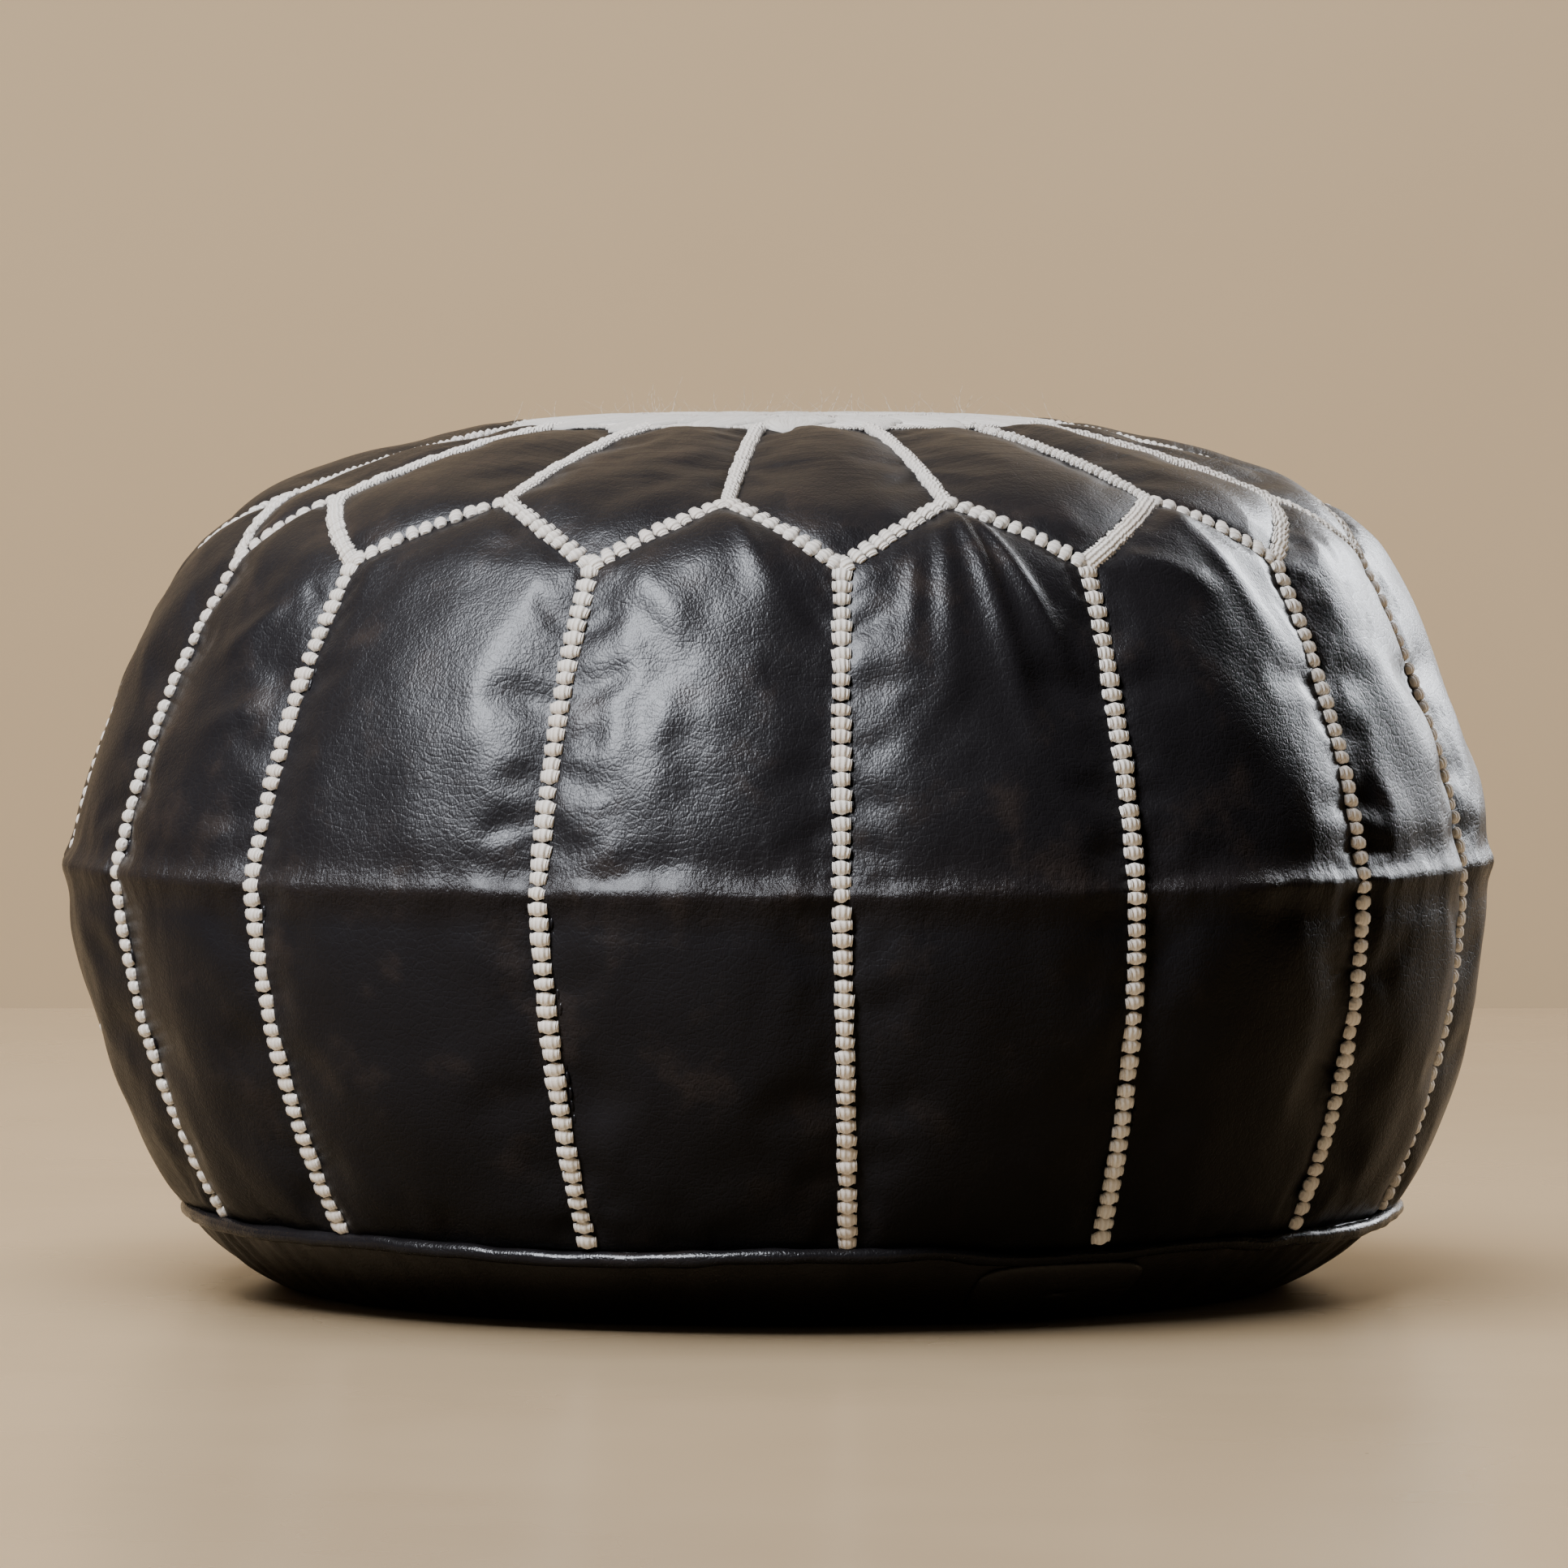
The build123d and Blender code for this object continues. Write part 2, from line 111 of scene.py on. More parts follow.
# The black goat leather. It is glazed, so it shines over a fine pebbled grain, it is browner and duller
# where it is rubbed, and it creases finely along the fold round the middle and beside the stitches.
class Signal:
    """A value in a finish, with Python's arithmetic between it and other values or numbers."""

    def __init__(self, finish, socket):
        self.finish, self.socket = finish, socket

    def math(self, operation, *values):
        return self.finish.node("ShaderNodeMath", {"operation": operation}, dict(enumerate(values)))

    def __add__(self, other):
        return self.math("ADD", self, other)

    def __rsub__(self, other):
        return self.math("SUBTRACT", other, self)

    def __mul__(self, other):
        return self.math("MULTIPLY", self, other)

    __radd__, __rmul__ = __add__, __mul__

    def between(self, low, high):
        """0 below low, 1 above high, and smooth in between."""
        settings = {"interpolation_type": "SMOOTHSTEP"}
        return self.finish.node("ShaderNodeMapRange", settings, {"Value": self, 1: low, 2: high})


class Finish:
    """A material of one of the pouf's pieces, with its constant values set on the shader."""

    def __init__(self, name, **constants):
        self.material = bpy.data.materials.new(name)
        self.material.use_nodes = True
        self.tree = self.material.node_tree
        self.shader = self.tree.nodes["Principled BSDF"]
        for key, value in constants.items():
            self.shader.inputs[key.replace("_", " ")].default_value = value

    def node(self, kind, settings, inputs, output=0):
        made = self.tree.nodes.new(kind)
        for key, value in settings.items():
            setattr(made, key, value)
        for key, value in inputs.items():
            self.plug(made.inputs[key], value)
        return Signal(self, made.outputs[output])

    def plug(self, socket, value):
        if isinstance(value, Signal):
            self.tree.links.new(value.socket, socket)
        else:
            socket.default_value = value

    def place(self):
        return self.node("ShaderNodeTexCoord", {}, {}, "Object")

    def uv(self):
        return self.node("ShaderNodeTexCoord", {}, {}, "UV")

    def stretched(self, vector, scale):
        return self.node("ShaderNodeMapping", {}, {"Vector": vector, "Scale": scale})

    def noise(self, vector, scale, detail=3.0, rough=0.55):
        inputs = {"Vector": vector, "Scale": scale, "Detail": detail, "Roughness": rough}
        return self.node("ShaderNodeTexNoise", {}, inputs, "Fac")

    def cells(self, vector, scale, feature):
        inputs = {"Vector": vector, "Scale": scale}
        return self.node("ShaderNodeTexVoronoi", {"feature": feature}, inputs, "Distance")

    def mix(self, factor, first, second):
        inputs = {0: factor, 6: first, 7: second}
        return self.node("ShaderNodeMix", {"data_type": "RGBA"}, inputs, 2)

    def attribute(self, name):
        return self.node("ShaderNodeAttribute", {"attribute_name": name}, {}, "Fac")

    def bumpy(self, height, distance, strength=1.0):
        inputs = {"Height": height, "Distance": distance, "Strength": strength}
        self.plug(self.shader.inputs["Normal"], self.node("ShaderNodeBump", {}, inputs, "Normal"))

    def give(self, **signals):
        for key, value in signals.items():
            self.plug(self.shader.inputs[key.replace("_", " ")], value)
        return self.material


def glazed_leather(name, dark, warm, low_gloss, high_gloss, coat, shine):
    """Glazed leather, creased where its mesh says that a seam, the fold or the top is near."""
    leather = Finish(name, Coat_Weight=coat, Coat_Roughness=0.2, Specular_IOR_Level=shine)
    at = leather.place()
    seam = leather.attribute("near_seam")
    fold = leather.attribute("near_fold")
    broad = leather.noise(at, 9, 4)
    cloud = leather.noise(at, 38, 4, 0.6)
    grain = leather.cells(leather.stretched(at, (1, 1, 0.5)), 1500, "SMOOTH_F1")
    pores = leather.noise(leather.stretched(at, (1, 1, 0.4)), 1900, 3)
    drape = leather.noise(leather.stretched(leather.uv(), (9, 95, 1)), 1, 4, 0.6)
    drape = drape * leather.attribute("near_top")
    net = leather.cells(leather.stretched(at, (1, 1, 1.7)), 210, "DISTANCE_TO_EDGE")
    crackle = net.between(0.0, 0.16)
    fine = leather.noise(leather.stretched(at, (1, 1, 0.45)), 330, 5, 0.7)
    height = grain * (0.06 + cloud * 0.14) + pores * 0.07 + crackle * 0.05 + cloud * 0.5 + drape * 1.6
    height = height + fine * (fold * 1.1 + seam * 0.45 + 0.05)
    leather.bumpy(height, 0.0011, 0.85)
    gloss = low_gloss + (high_gloss - low_gloss) * (broad * 0.55 + cloud * 0.45)
    rubbed = cloud.between(0.52, 0.75) * 0.5 + fold * 0.25
    return leather.give(
        Base_Color=leather.mix(rubbed, dark, warm),
        Roughness=gloss + crackle * -0.04 + seam * 0.08 + fold * -0.05,
    )


black_leather = glazed_leather(
    "black_goat_leather", dark=(0.0016, 0.0014, 0.0015, 1), warm=(0.0052, 0.0036, 0.0028, 1),
    low_gloss=0.25, high_gloss=0.48, coat=0.02, shine=0.055,
)


# The thirty-two panels of goat leather. Each is a sheet held along its sewn edges and pushed out by the
# stuffing, with a little spare leather that buckles into soft folds. The stitches pull long folds into
# some panels, and a fold that was pressed in while the pouf lay flat runs round all the side panels.
LEATHER, SEAM_SINK = 0.0014, 0.0012
PULLS = {  # panel: folds from (bearing, u) to (bearing, u), with their width and height
    4: (
        ((16.5, U_PEAK - 0.006), (21.5, U_VALLEY - 0.085), 0.0042, 0.0030),
        ((18.0, U_PEAK - 0.010), (26.5, U_VALLEY - 0.060), 0.0040, 0.0028),
        ((15.0, U_PEAK - 0.014), (14.0, U_VALLEY - 0.070), 0.0050, 0.0022),
        ((12.0, U_VALLEY + 0.006), (10.5, U_VALLEY - 0.050), 0.0040, 0.0016),
    ),
    3: (
        ((-6.0, U_PEAK - 0.012), (1.0, U_VALLEY - 0.030), 0.0060, 0.0018),
        ((-14.0, U_VALLEY), (-6.0, U_VALLEY - 0.050), 0.0080, 0.0018),
    ),
    5: (
        ((33.0, U_VALLEY + 0.004), (45.0, U_VALLEY - 0.020), 0.0050, 0.0024),
        ((41.0, U_PEAK - 0.010), (49.0, U_VALLEY - 0.050), 0.0060, 0.0018),
    ),
    1: (
        ((-50.0, U_VALLEY - 0.020), (-60.0, U_VALLEY - 0.055), 0.0050, 0.0022),
        ((-48.0, U_VALLEY - 0.060), (-58.0, U_VALLEY - 0.075), 0.0045, 0.0018),
    ),
    9: (((135.0, U_PEAK - 0.01), (141.0, U_VALLEY - 0.07), 0.0050, 0.0024),),
    12: (((208.0, U_PEAK - 0.01), (201.0, U_VALLEY - 0.06), 0.0050, 0.0024),),
    14: (((250.0, U_PEAK - 0.02), (256.0, U_VALLEY - 0.05), 0.0055, 0.0022),),
}


def seam_top(k, s):
    """How far up the outline side panel k reaches at the fraction s of its width."""
    middle = (PEAKS[k] - SEAMS[k]) / PANEL_ARCS[k]
    rise = np.where(s < middle, s / middle, (1 - s) / (1 - middle))
    return U_VALLEY + (U_PEAK - U_VALLEY) * rise


def spread(count, ease):
    """Fractions from 0 to 1 that crowd towards both ends as ease grows."""
    even = np.linspace(0, 1, count)
    return (1 - ease) * even + ease * (0.5 - 0.5 * np.cos(math.pi * even))


def select_none():
    bpy.ops.object.select_all(action="DESELECT")


def select_only(piece):
    select_none()
    piece.select_set(True)
    bpy.context.view_layer.objects.active = piece


def sheet_of(name, points):
    """A grid of faces laid through rows of points."""
    rows, columns = points.shape[:2]
    select_none()
    bpy.ops.mesh.primitive_grid_add(x_subdivisions=columns - 1, y_subdivisions=rows - 1, size=1)
    piece = bpy.context.object
    piece.name = piece.data.name = name
    piece.data.vertices.foreach_set("co", points.reshape(-1, 3).ravel())
    piece.data.update()
    return piece


def wobble(points, scale, seed, stretch=(1, 1, 1)):
    """Smooth noise at each point, from about -1 to 1, with lumps of about that size in metres."""
    flat = points.reshape(-1, 3) / scale / np.array(stretch) + seed * 17.3
    return np.array([noise.noise(p) for p in flat.tolist()]).reshape(points.shape[:-1]) * 1.6


def finish_sheet(piece, thickness):
    """Rounds a sheet's facets, gives it its thickness inwards and smooths its shading."""
    select_only(piece)
    smooth = piece.modifiers.new("Round", "SUBSURF")
    smooth.levels = smooth.render_levels = 1
    wall = piece.modifiers.new("Thickness", "SOLIDIFY")
    wall.thickness, wall.offset = thickness, -1
    for name in ("Round", "Thickness"):
        bpy.ops.object.modifier_apply(modifier=name)
    bpy.ops.object.shade_smooth()


COVER_RADIUS = 0.25


def pulled(bearing, u, pulls):
    """Height of the long folds that the stitches pull into a panel."""
    height = 0 * u
    for (b0, u0), (b1, u1), width, rise in pulls:
        x, y = np.radians(bearing - b0) * COVER_RADIUS, u - u0
        dx, dy = math.radians(b1 - b0) * COVER_RADIUS, u1 - u0
        run = math.hypot(dx, dy)
        t = (x * dx + y * dy) / run
        off = (x * dy - y * dx) / run
        width_here = width * (0.55 + 0.9 * np.clip(t / run, 0, 1))
        fade = np.clip(t / 0.008, 0, 1) * np.clip((run - t) / (0.5 * run), 0, 1)
        height = height + rise * fade * np.exp(-((off / width_here) ** 2))
    return height


UNDULATION, RIPPLE, GATHER, TUCK, CRUMPLE = 0.0016, 0.0006, 0.0008, 0.0007, 0.0009
RIDGE, RIDGE_WIDTH, GROOVE, GROOVE_PLACE, GROOVE_WIDTH = 0.0017, 0.0032, 0.0011, 0.010, 0.006
GATHER_WAY, TUCK_WAY, HELD_WAY = 0.013, 0.012, 0.006


def folds(points, normals, seam_way, fold_way, seed):
    """Adds the gathers beside the stitches, the pressed fold round the middle and slow undulations."""
    slow = UNDULATION * wobble(points, 0.055, seed) + RIPPLE * wobble(points, 0.022, seed + 3)
    gathers = GATHER * wobble(points, 0.0085, seed + 5) * np.exp(-seam_way / GATHER_WAY)
    tucks = TUCK * wobble(points, 0.007, seed + 8, (1, 1, 4)) * np.exp(-np.abs(fold_way) / TUCK_WAY)
    ridge = RIDGE * np.exp(-(fold_way / RIDGE_WIDTH) ** 2)
    ridge -= GROOVE * np.exp(-((np.abs(fold_way) - GROOVE_PLACE) / GROOVE_WIDTH) ** 2)
    crumple = np.clip(wobble(points, 0.07, seed + 21), 0, 1) * CRUMPLE * wobble(points, 0.013, seed + 23)
    held = 1 - np.exp(-seam_way / HELD_WAY)
    strong = 0.75 + 0.35 * wobble(points, 0.06, seed + 11)
    return points + normals * (held * (slow + gathers + tucks + crumple) + ridge * strong)[..., None]


PUFF, PUFF_WAY, POINT_SLANT = 0.0042, 0.014, 0.85


def panel_sheet(name, bearing, u, seam_way):
    """One panel before the stuffing pushes it, with its edges marked as sewn."""
    puff = PUFF * (1 - np.exp(-seam_way / PUFF_WAY)) - SEAM_SINK
    points, normals = on_cover(bearing, u, puff), outward(bearing, u)
    piece = sheet_of(name, points)
    sewn = piece.vertex_groups.new(name="sewn")
    rows, columns = u.shape
    number = np.arange(rows * columns).reshape(rows, columns)
    edge = {*number[0], *number[-1], *number[:, 0], *number[:, -1]}
    sewn.add([int(n) for n in sorted(edge)], 1.0, "REPLACE")
    layout = piece.data.uv_layers.active.data
    across = np.radians(bearing) * COVER_RADIUS
    for loop in piece.data.loops:
        r, c = divmod(loop.vertex_index, columns)
        layout[loop.index].uv = (across[r, c], u[r, c])
    return {
        "piece": piece, "flat": points, "normals": normals, "seam_way": seam_way, "fold_way": u - U_CREASE,
        "bearing": bearing, "u": u,
    }


SIDE_RADIUS, TOP_FOOT_RADIUS, TOP_END_RADIUS = 0.255, 0.198, 0.104


def side_panel(k):
    s = spread(37, 0.45)
    low = U_CREASE * spread(26, 0.35)
    high = spread(42, 0.35)[1:]
    top = seam_top(k, s)
    u = np.concatenate([low[:, None] + 0 * s, U_CREASE + (top - U_CREASE) * high[:, None]])
    bearing = SEAMS[k] + PANEL_ARCS[k] * s + 0 * u
    width = math.radians(PANEL_ARCS[k]) * SIDE_RADIUS
    away = np.minimum(np.minimum(s, 1 - s) * width + 0 * u, np.minimum((top - u) * POINT_SLANT, u))
    return panel_sheet(f"side_leather_{k + 1:02d}", bearing, u, away)


def top_panel(k):
    half = spread(14, 0.4)
    left, right = PEAKS[k - 1] - (360 if k == 0 else 0), PEAKS[k]
    rising, falling = left + (SEAMS[k] - left) * half, SEAMS[k] + (right - SEAMS[k]) * half
    line_bearing = np.concatenate([rising, falling[1:]])
    foot = U_VALLEY + (U_PEAK - U_VALLEY) * np.concatenate([1 - half, half[1:]])
    up = spread(26, 0.35)[:, None]
    u = foot + (U_MEDALLION - foot) * up
    bearing = line_bearing + 0 * u
    across = np.minimum(line_bearing - left, right - line_bearing)
    radius = TOP_FOOT_RADIUS + (TOP_END_RADIUS - TOP_FOOT_RADIUS) * up
    away = np.minimum(np.radians(across) * radius, np.minimum((u - foot) * POINT_SLANT, U_MEDALLION - u))
    return panel_sheet(f"top_leather_{k + 1:02d}", bearing, u, away)


panels = [side_panel(k) for k in range(PANELS)] + [top_panel(k) for k in range(PANELS)]
STEPS, SPARE_LEATHER, MOST_PUSH = 18, 0.010, 0.006
TOP_STARTS = U_PEAK - U_CREASE
for panel in panels:
    cloth = panel["piece"].modifiers.new("Stuffed", "CLOTH")
    cloth.settings.vertex_group_mass = "sewn"
    cloth.settings.quality = 4
    cloth.settings.use_pressure = True
    cloth.settings.uniform_pressure_force = 3.0
    cloth.settings.shrink_min = -SPARE_LEATHER
    cloth.settings.bending_stiffness = 2.5
    cloth.settings.effector_weights.gravity = 0
    cloth.collision_settings.use_collision = False
    cloth.point_cache.frame_end = STEPS
for step in range(1, STEPS + 1):
    bpy.context.scene.frame_set(step)
for panel in panels:
    select_only(panel["piece"])
    bpy.ops.object.modifier_apply(modifier="Stuffed")
bpy.context.scene.frame_set(1)
for number, panel in enumerate(panels):
    piece, flat = panel["piece"], panel["flat"]
    pushed = np.empty(flat.size)
    piece.data.vertices.foreach_get("co", pushed)
    push = pushed.reshape(flat.shape) - flat
    size = np.linalg.norm(push, axis=-1, keepdims=True)
    push = push * np.tanh(size / MOST_PUSH) * MOST_PUSH / np.maximum(size, 1e-9)
    creased = folds(flat + push, panel["normals"], panel["seam_way"], panel["fold_way"], number)
    if number in PULLS:
        long_folds = pulled(panel["bearing"], panel["u"], PULLS[number])
        creased += panel["normals"] * (long_folds * (1 - np.exp(-panel["seam_way"] / 0.005)))[..., None]
    piece.data.vertices.foreach_set("co", creased.ravel())
    for name, values in (
        ("near_seam", np.exp(-panel["seam_way"] / 0.010)),
        ("near_fold", np.exp(-np.abs(panel["fold_way"]) / 0.009) * (panel["fold_way"] > -0.01)),
        ("near_top", np.clip((panel["fold_way"] - TOP_STARTS) / 0.04, 0, 1)),
    ):
        layer = piece.data.attributes.new(name, "FLOAT", "POINT")
        layer.data.foreach_set("value", values.ravel())
    piece.data.update()
    finish_sheet(piece, LEATHER)
    piece.data.materials.append(black_leather)
    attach(piece, "pouf")
    kind = "side_panel" if number < PANELS else "top_panel"
    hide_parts(f"{kind}_{number % PANELS + 1:02d}")


# The overcast stitches. A thick plied white thread is wrapped round both edges of a seam again and
# again, and each bundle of three turns stands up as a bead. On some short seams the turns lie singly.
def thread_finish(name, light, painted_shade, pink):
    thread = Finish(name, Sheen_Weight=0.25, Sheen_Roughness=0.5, Specular_IOR_Level=0.25)
    at, along = thread.place(), thread.uv()
    bands = {"Vector": thread.stretched(along, (0.3, 1, 1)), "Scale": 1.9, "Distortion": 2.0, "Detail": 1.5}
    twist = thread.node("ShaderNodeTexWave", {"wave_type": "BANDS", "bands_direction": "Y"}, bands, "Fac")
    fuzz = thread.noise(at, 2600, 3, 0.7)
    soil = thread.noise(at, 14, 3).between(0.42, 0.72)
    thread.bumpy(twist * 0.75 + fuzz * 0.35, 0.0006, 1.0)
    clean = thread.mix(soil * 0.55, light, pink)
    # painted shade: the colour turns to the darker shade colour in the grooves between the twisted plies,
    # where the twist bands are low
    colour = thread.mix((1 - twist) * 0.38, clean, painted_shade)
    return thread.give(Base_Color=colour, Roughness=0.72 + fuzz * 0.15)


# The white thread's darker shade colour is painted shade for the grooves between its plies.
white_thread = thread_finish(
    "white_thread", light=(0.93, 0.905, 0.86, 1), painted_shade=(0.60, 0.53, 0.45, 1), pink=(0.86, 0.77, 0.69, 1),
)
BEAD_PITCH, BEAD_HALF = 0.0055, Vector((0.0036, 0.0029, 0.0024))
LOBE_TURN, LOBE_DEPTH, SQUARED = 4, 0.15, 0.2


def thread_lump(name, half, boxy, segments, rings):
    """A smooth turn of thread where boxy is 0, or a bundle of strands with lobes where it is 1."""
    select_none()
    bpy.ops.mesh.primitive_uv_sphere_add(segments=segments, ring_count=rings, radius=1)
    lump = bpy.context.object
    lump.name = name
    lump.rotation_euler = (0, math.pi / 2, 0)
    bpy.ops.object.transform_apply(rotation=True)
    for vertex in lump.data.vertices:
        x, y, z = vertex.co
        rib = 1 - LOBE_DEPTH * boxy * (1 - math.cos(LOBE_TURN * math.acos(max(-1, min(1, x)))))
        full = max(0.06, 1 - x * x) ** (-0.34 * boxy)
        wide = math.copysign(abs(x) ** (1 - SQUARED * boxy), x) * (1 + 0.13 * boxy * y)
        square = math.copysign(abs(y) ** (1 - SQUARED * boxy), y)
        vertex.co = (wide * half.x, square * half.y * full * rib, z * half.z * full * rib)
    bpy.ops.object.shade_smooth()
    return lump


def seam_line(first, last, sink=SEAM_SINK):
    """The seam from one (bearing, u) to another: its length and a function from 0 to 1 along it."""
    (b0, u0), (b1, u1) = first, last
    t = np.linspace(0, 1, 160)
    points = on_cover(b0 + (b1 - b0) * t, u0 + (u1 - u0) * t, -sink)
    run = np.concatenate([[0], np.cumsum(np.linalg.norm(np.diff(points, axis=0), axis=1))])
    normals = outward(b0 + (b1 - b0) * t, u0 + (u1 - u0) * t)

    def at(distance):
        point = Vector([np.interp(distance, run, points[:, i]) for i in range(3)])
        ahead = Vector([np.interp(distance + 0.001, run, points[:, i]) for i in range(3)])
        behind = Vector([np.interp(distance - 0.001, run, points[:, i]) for i in range(3)])
        up = Vector([np.interp(distance, run, normals[:, i]) for i in range(3)]).normalized()
        along = (ahead - behind).normalized()
        return point, along, up

    return run[-1], at


UNEVEN, MOST_TURN, MOST_TILT, LUMP_LIFT = 0.1, 7, 6, 0.0008


def sew(rows):
    """Where the lumps lie along rows of (seam, pitch, start, end, scale, slant), as matrices."""
    places = []
    for (length, at), pitch, start, end, scale, slant in rows:
        count = max(1, round((length - start - end) / pitch))
        for i in range(count + 1):
            distance = start + (length - start - end) * i / count + random.uniform(-UNEVEN, UNEVEN) * pitch
            point, along, up = at(distance)
            across = along.cross(up).normalized()
            stand = Matrix.Translation(point) @ Matrix((across, along, up)).transposed().to_4x4()
            turn = Matrix.Rotation(math.radians(slant + random.uniform(-MOST_TURN, MOST_TURN)), 4, "Z")
            tilt = Matrix.Rotation(math.radians(random.uniform(-MOST_TILT, MOST_TILT)), 4, "Y")
            size = [s * random.uniform(1 - UNEVEN, 1 + UNEVEN) for s in scale]
            lift = Matrix.Translation((0, 0, LUMP_LIFT + random.uniform(-0.0002, 0.0003)))
            places.append(stand @ lift @ turn @ tilt @ Matrix.Diagonal((*size, 1)))
    return places


def copies(name, lump, places):
    """One piece made of a copy of the lump at each place."""
    count, mesh = len(lump.data.vertices), lump.data
    base = np.empty(count * 3)
    mesh.vertices.foreach_get("co", base)
    base = np.concatenate([base.reshape(-1, 3), np.ones((count, 1))], 1)
    select_only(lump)
    pile = [lump]
    for _ in places[1:]:
        twin = lump.copy()
        twin.data = mesh.copy()
        bpy.context.collection.objects.link(twin)
        pile.append(twin)
    for twin, place in zip(pile, places):
        twin.data.vertices.foreach_set("co", (base @ np.array(place).T)[:, :3].ravel())
        twin.select_set(True)
    bpy.ops.object.join()
    lump.name = lump.data.name = name
    return lump


def sewn_in_white(name, lump, rows, *nodes):
    """A piece of white stitches, which stands for those nodes."""
    piece = copies(name, lump, sew(rows))
    piece.data.materials.append(white_thread)
    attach(piece, "pouf")
    if nodes:
        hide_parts(*nodes)


FULL = (1, 1, 1)
side_rows = []
for seam_bearing in SEAMS[:PANELS]:
    seam = seam_line((seam_bearing, 0.004), (seam_bearing, U_VALLEY))
    side_rows.append((seam, BEAD_PITCH, 0.002, 0.003, FULL, 0))
side_bead = thread_lump("side_bead", BEAD_HALF, boxy=1, segments=10, rings=8)
sewn_in_white("side_stitches", side_bead, side_rows, "side_seam_stitching")
single_turns = {(1, "fall"), (5, "rise"), (6, "fall"), (10, "rise"), (12, "fall")}
bead_rows, turn_rows, fall_rows = [], [], []
for k in range(PANELS):
    rise = seam_line((SEAMS[k], U_VALLEY), (PEAKS[k], U_PEAK))
    fall = seam_line((PEAKS[k], U_PEAK), (SEAMS[k + 1], U_VALLEY))
    for way_name, seam in (("rise", rise), ("fall", fall)):
        if (k, way_name) in single_turns:
            turn_rows.append((seam, 0.0021, 0.001, 0.001, (1.15, 1, 1), 12))
        else:
            bead_rows.append((seam, BEAD_PITCH, 0.002, 0.003, FULL, 0))
    fall_rows.append((fall, BEAD_PITCH, 0.003, 0.004, FULL, 0))
zigzag_bead = thread_lump("zigzag_bead", BEAD_HALF, boxy=1, segments=10, rings=8)
sewn_in_white("zigzag_stitches", zigzag_bead, bead_rows, "zigzag_seam_stitching")
TURN_HALF, RADIAL_HALF = Vector((0.0037, 0.0011, 0.0022)), Vector((0.0038, 0.0016, 0.0023))
sewn_in_white("zigzag_single_turns", thread_lump("turn", TURN_HALF, boxy=0, segments=8, rings=7), turn_rows)
radial_rows = []
for k, peak in enumerate(PEAKS):
    seam = seam_line((peak, U_PEAK), (peak, U_MEDALLION))
    radial_rows.append((seam, 0.0027, 0.002, 0.0, (0.97, 1, 1), 30 if k % 2 else -27))
radial_bead = thread_lump("radial_bead", RADIAL_HALF, boxy=0.25, segments=8, rings=7)
sewn_in_white("radial_stitches", radial_bead, radial_rows, "radial_seam_stitching")


# The turned edges of the leather panels. The stitches pull them up into a fine ruffle of short lips
# that shows beside the thread on the side seams and on the falling seams of the zigzag.
LIP_HALF, LIP_ASIDE = Vector((0.00085, 0.0031, 0.0010)), 0.0047
lip_places = []
for rows, aside in ((side_rows, LIP_ASIDE), (fall_rows, -LIP_ASIDE)):
    for place in sew(rows):
        lip_places.append(place @ Matrix.Translation((aside, 0.001, -0.0012)))
lip = copies("leather_lips", thread_lump("lip", LIP_HALF, boxy=0, segments=6, rings=5), lip_places)
lip.data.materials.append(black_leather)
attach(lip, "pouf")


# The medallion: a leather disc covered with flat embroidery in the same white thread. Rings of couched
# cord surround a small star, and a ring of long satin-stitched leaves spreads over the panels' edges.
DISC_SINK, MIDDLE_HOLE, WELD = 0.0006, 0.0004, 0.00003


def weld():
    """Joins the meeting edges of the active piece and turns its faces outwards."""
    bpy.ops.object.mode_set(mode="EDIT")
    bpy.ops.mesh.select_all(action="SELECT")
    bpy.ops.mesh.remove_doubles(threshold=WELD)
    bpy.ops.mesh.normals_make_consistent(inside=False)
    bpy.ops.object.mode_set(mode="OBJECT")


round_disc = np.linspace(0, 360, 97)
disc_rows = np.linspace(U_MEDALLION - 0.003, way[-1] - MIDDLE_HOLE, 22)[:, None] + 0 * round_disc
disc = sheet_of("medallion_leather", on_cover(round_disc + 0 * disc_rows, disc_rows, -DISC_SINK))
select_only(disc)
weld()
finish_sheet(disc, LEATHER)
disc.data.materials.append(black_leather)
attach(disc, "pouf")
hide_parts("medallion_disc")


def satin_finish(light, painted_shade):
    satin = Finish("white_satin_stitch", Sheen_Weight=0.35, Sheen_Roughness=0.45, Specular_IOR_Level=0.3)
    at, along = satin.place(), satin.uv()
    strands = satin.noise(satin.stretched(along, (46, 2.2, 1)), 1.0, 4, 0.6)
    fuzz = satin.noise(at, 2100, 3, 0.7)
    satin.bumpy(strands * 0.9 + fuzz * 0.3, 0.0007, 1.0)
    # painted shade: the colour turns to the darker shade colour between the strands, where their bump is
    # low
    colour = satin.mix(strands.between(0.35, 0.6), painted_shade, light)
    return satin.give(Base_Color=colour, Roughness=0.6 + fuzz * 0.2)


# The satin's darker shade colour is painted shade between the strands.
white_satin = satin_finish(light=(0.94, 0.925, 0.89, 1), painted_shade=(0.66, 0.63, 0.58, 1))


LEAF_SINK, LEAF_THICKNESS = 0.0004, 0.0008


def leaf_on_cover(bearing, inner, outer, half_angle, height):
    """A pointed leaf of satin stitches that lies on the cover, from one radius out to another."""
    t = np.linspace(0, 1, 13)[:, None]
    s = np.linspace(-1, 1, 9)
    swell = np.sin(math.pi * np.clip(t, 0.02, 0.98)) ** 0.75
    u = way[-1] - (inner + (outer - inner) * t) + 0 * s
    thick = height * np.sqrt(np.clip(1 - s * s, 0, 1)) * np.clip(swell * 1.6, 0, 1)
    return on_cover(bearing + half_angle * s * swell, u, thick - LEAF_SINK)


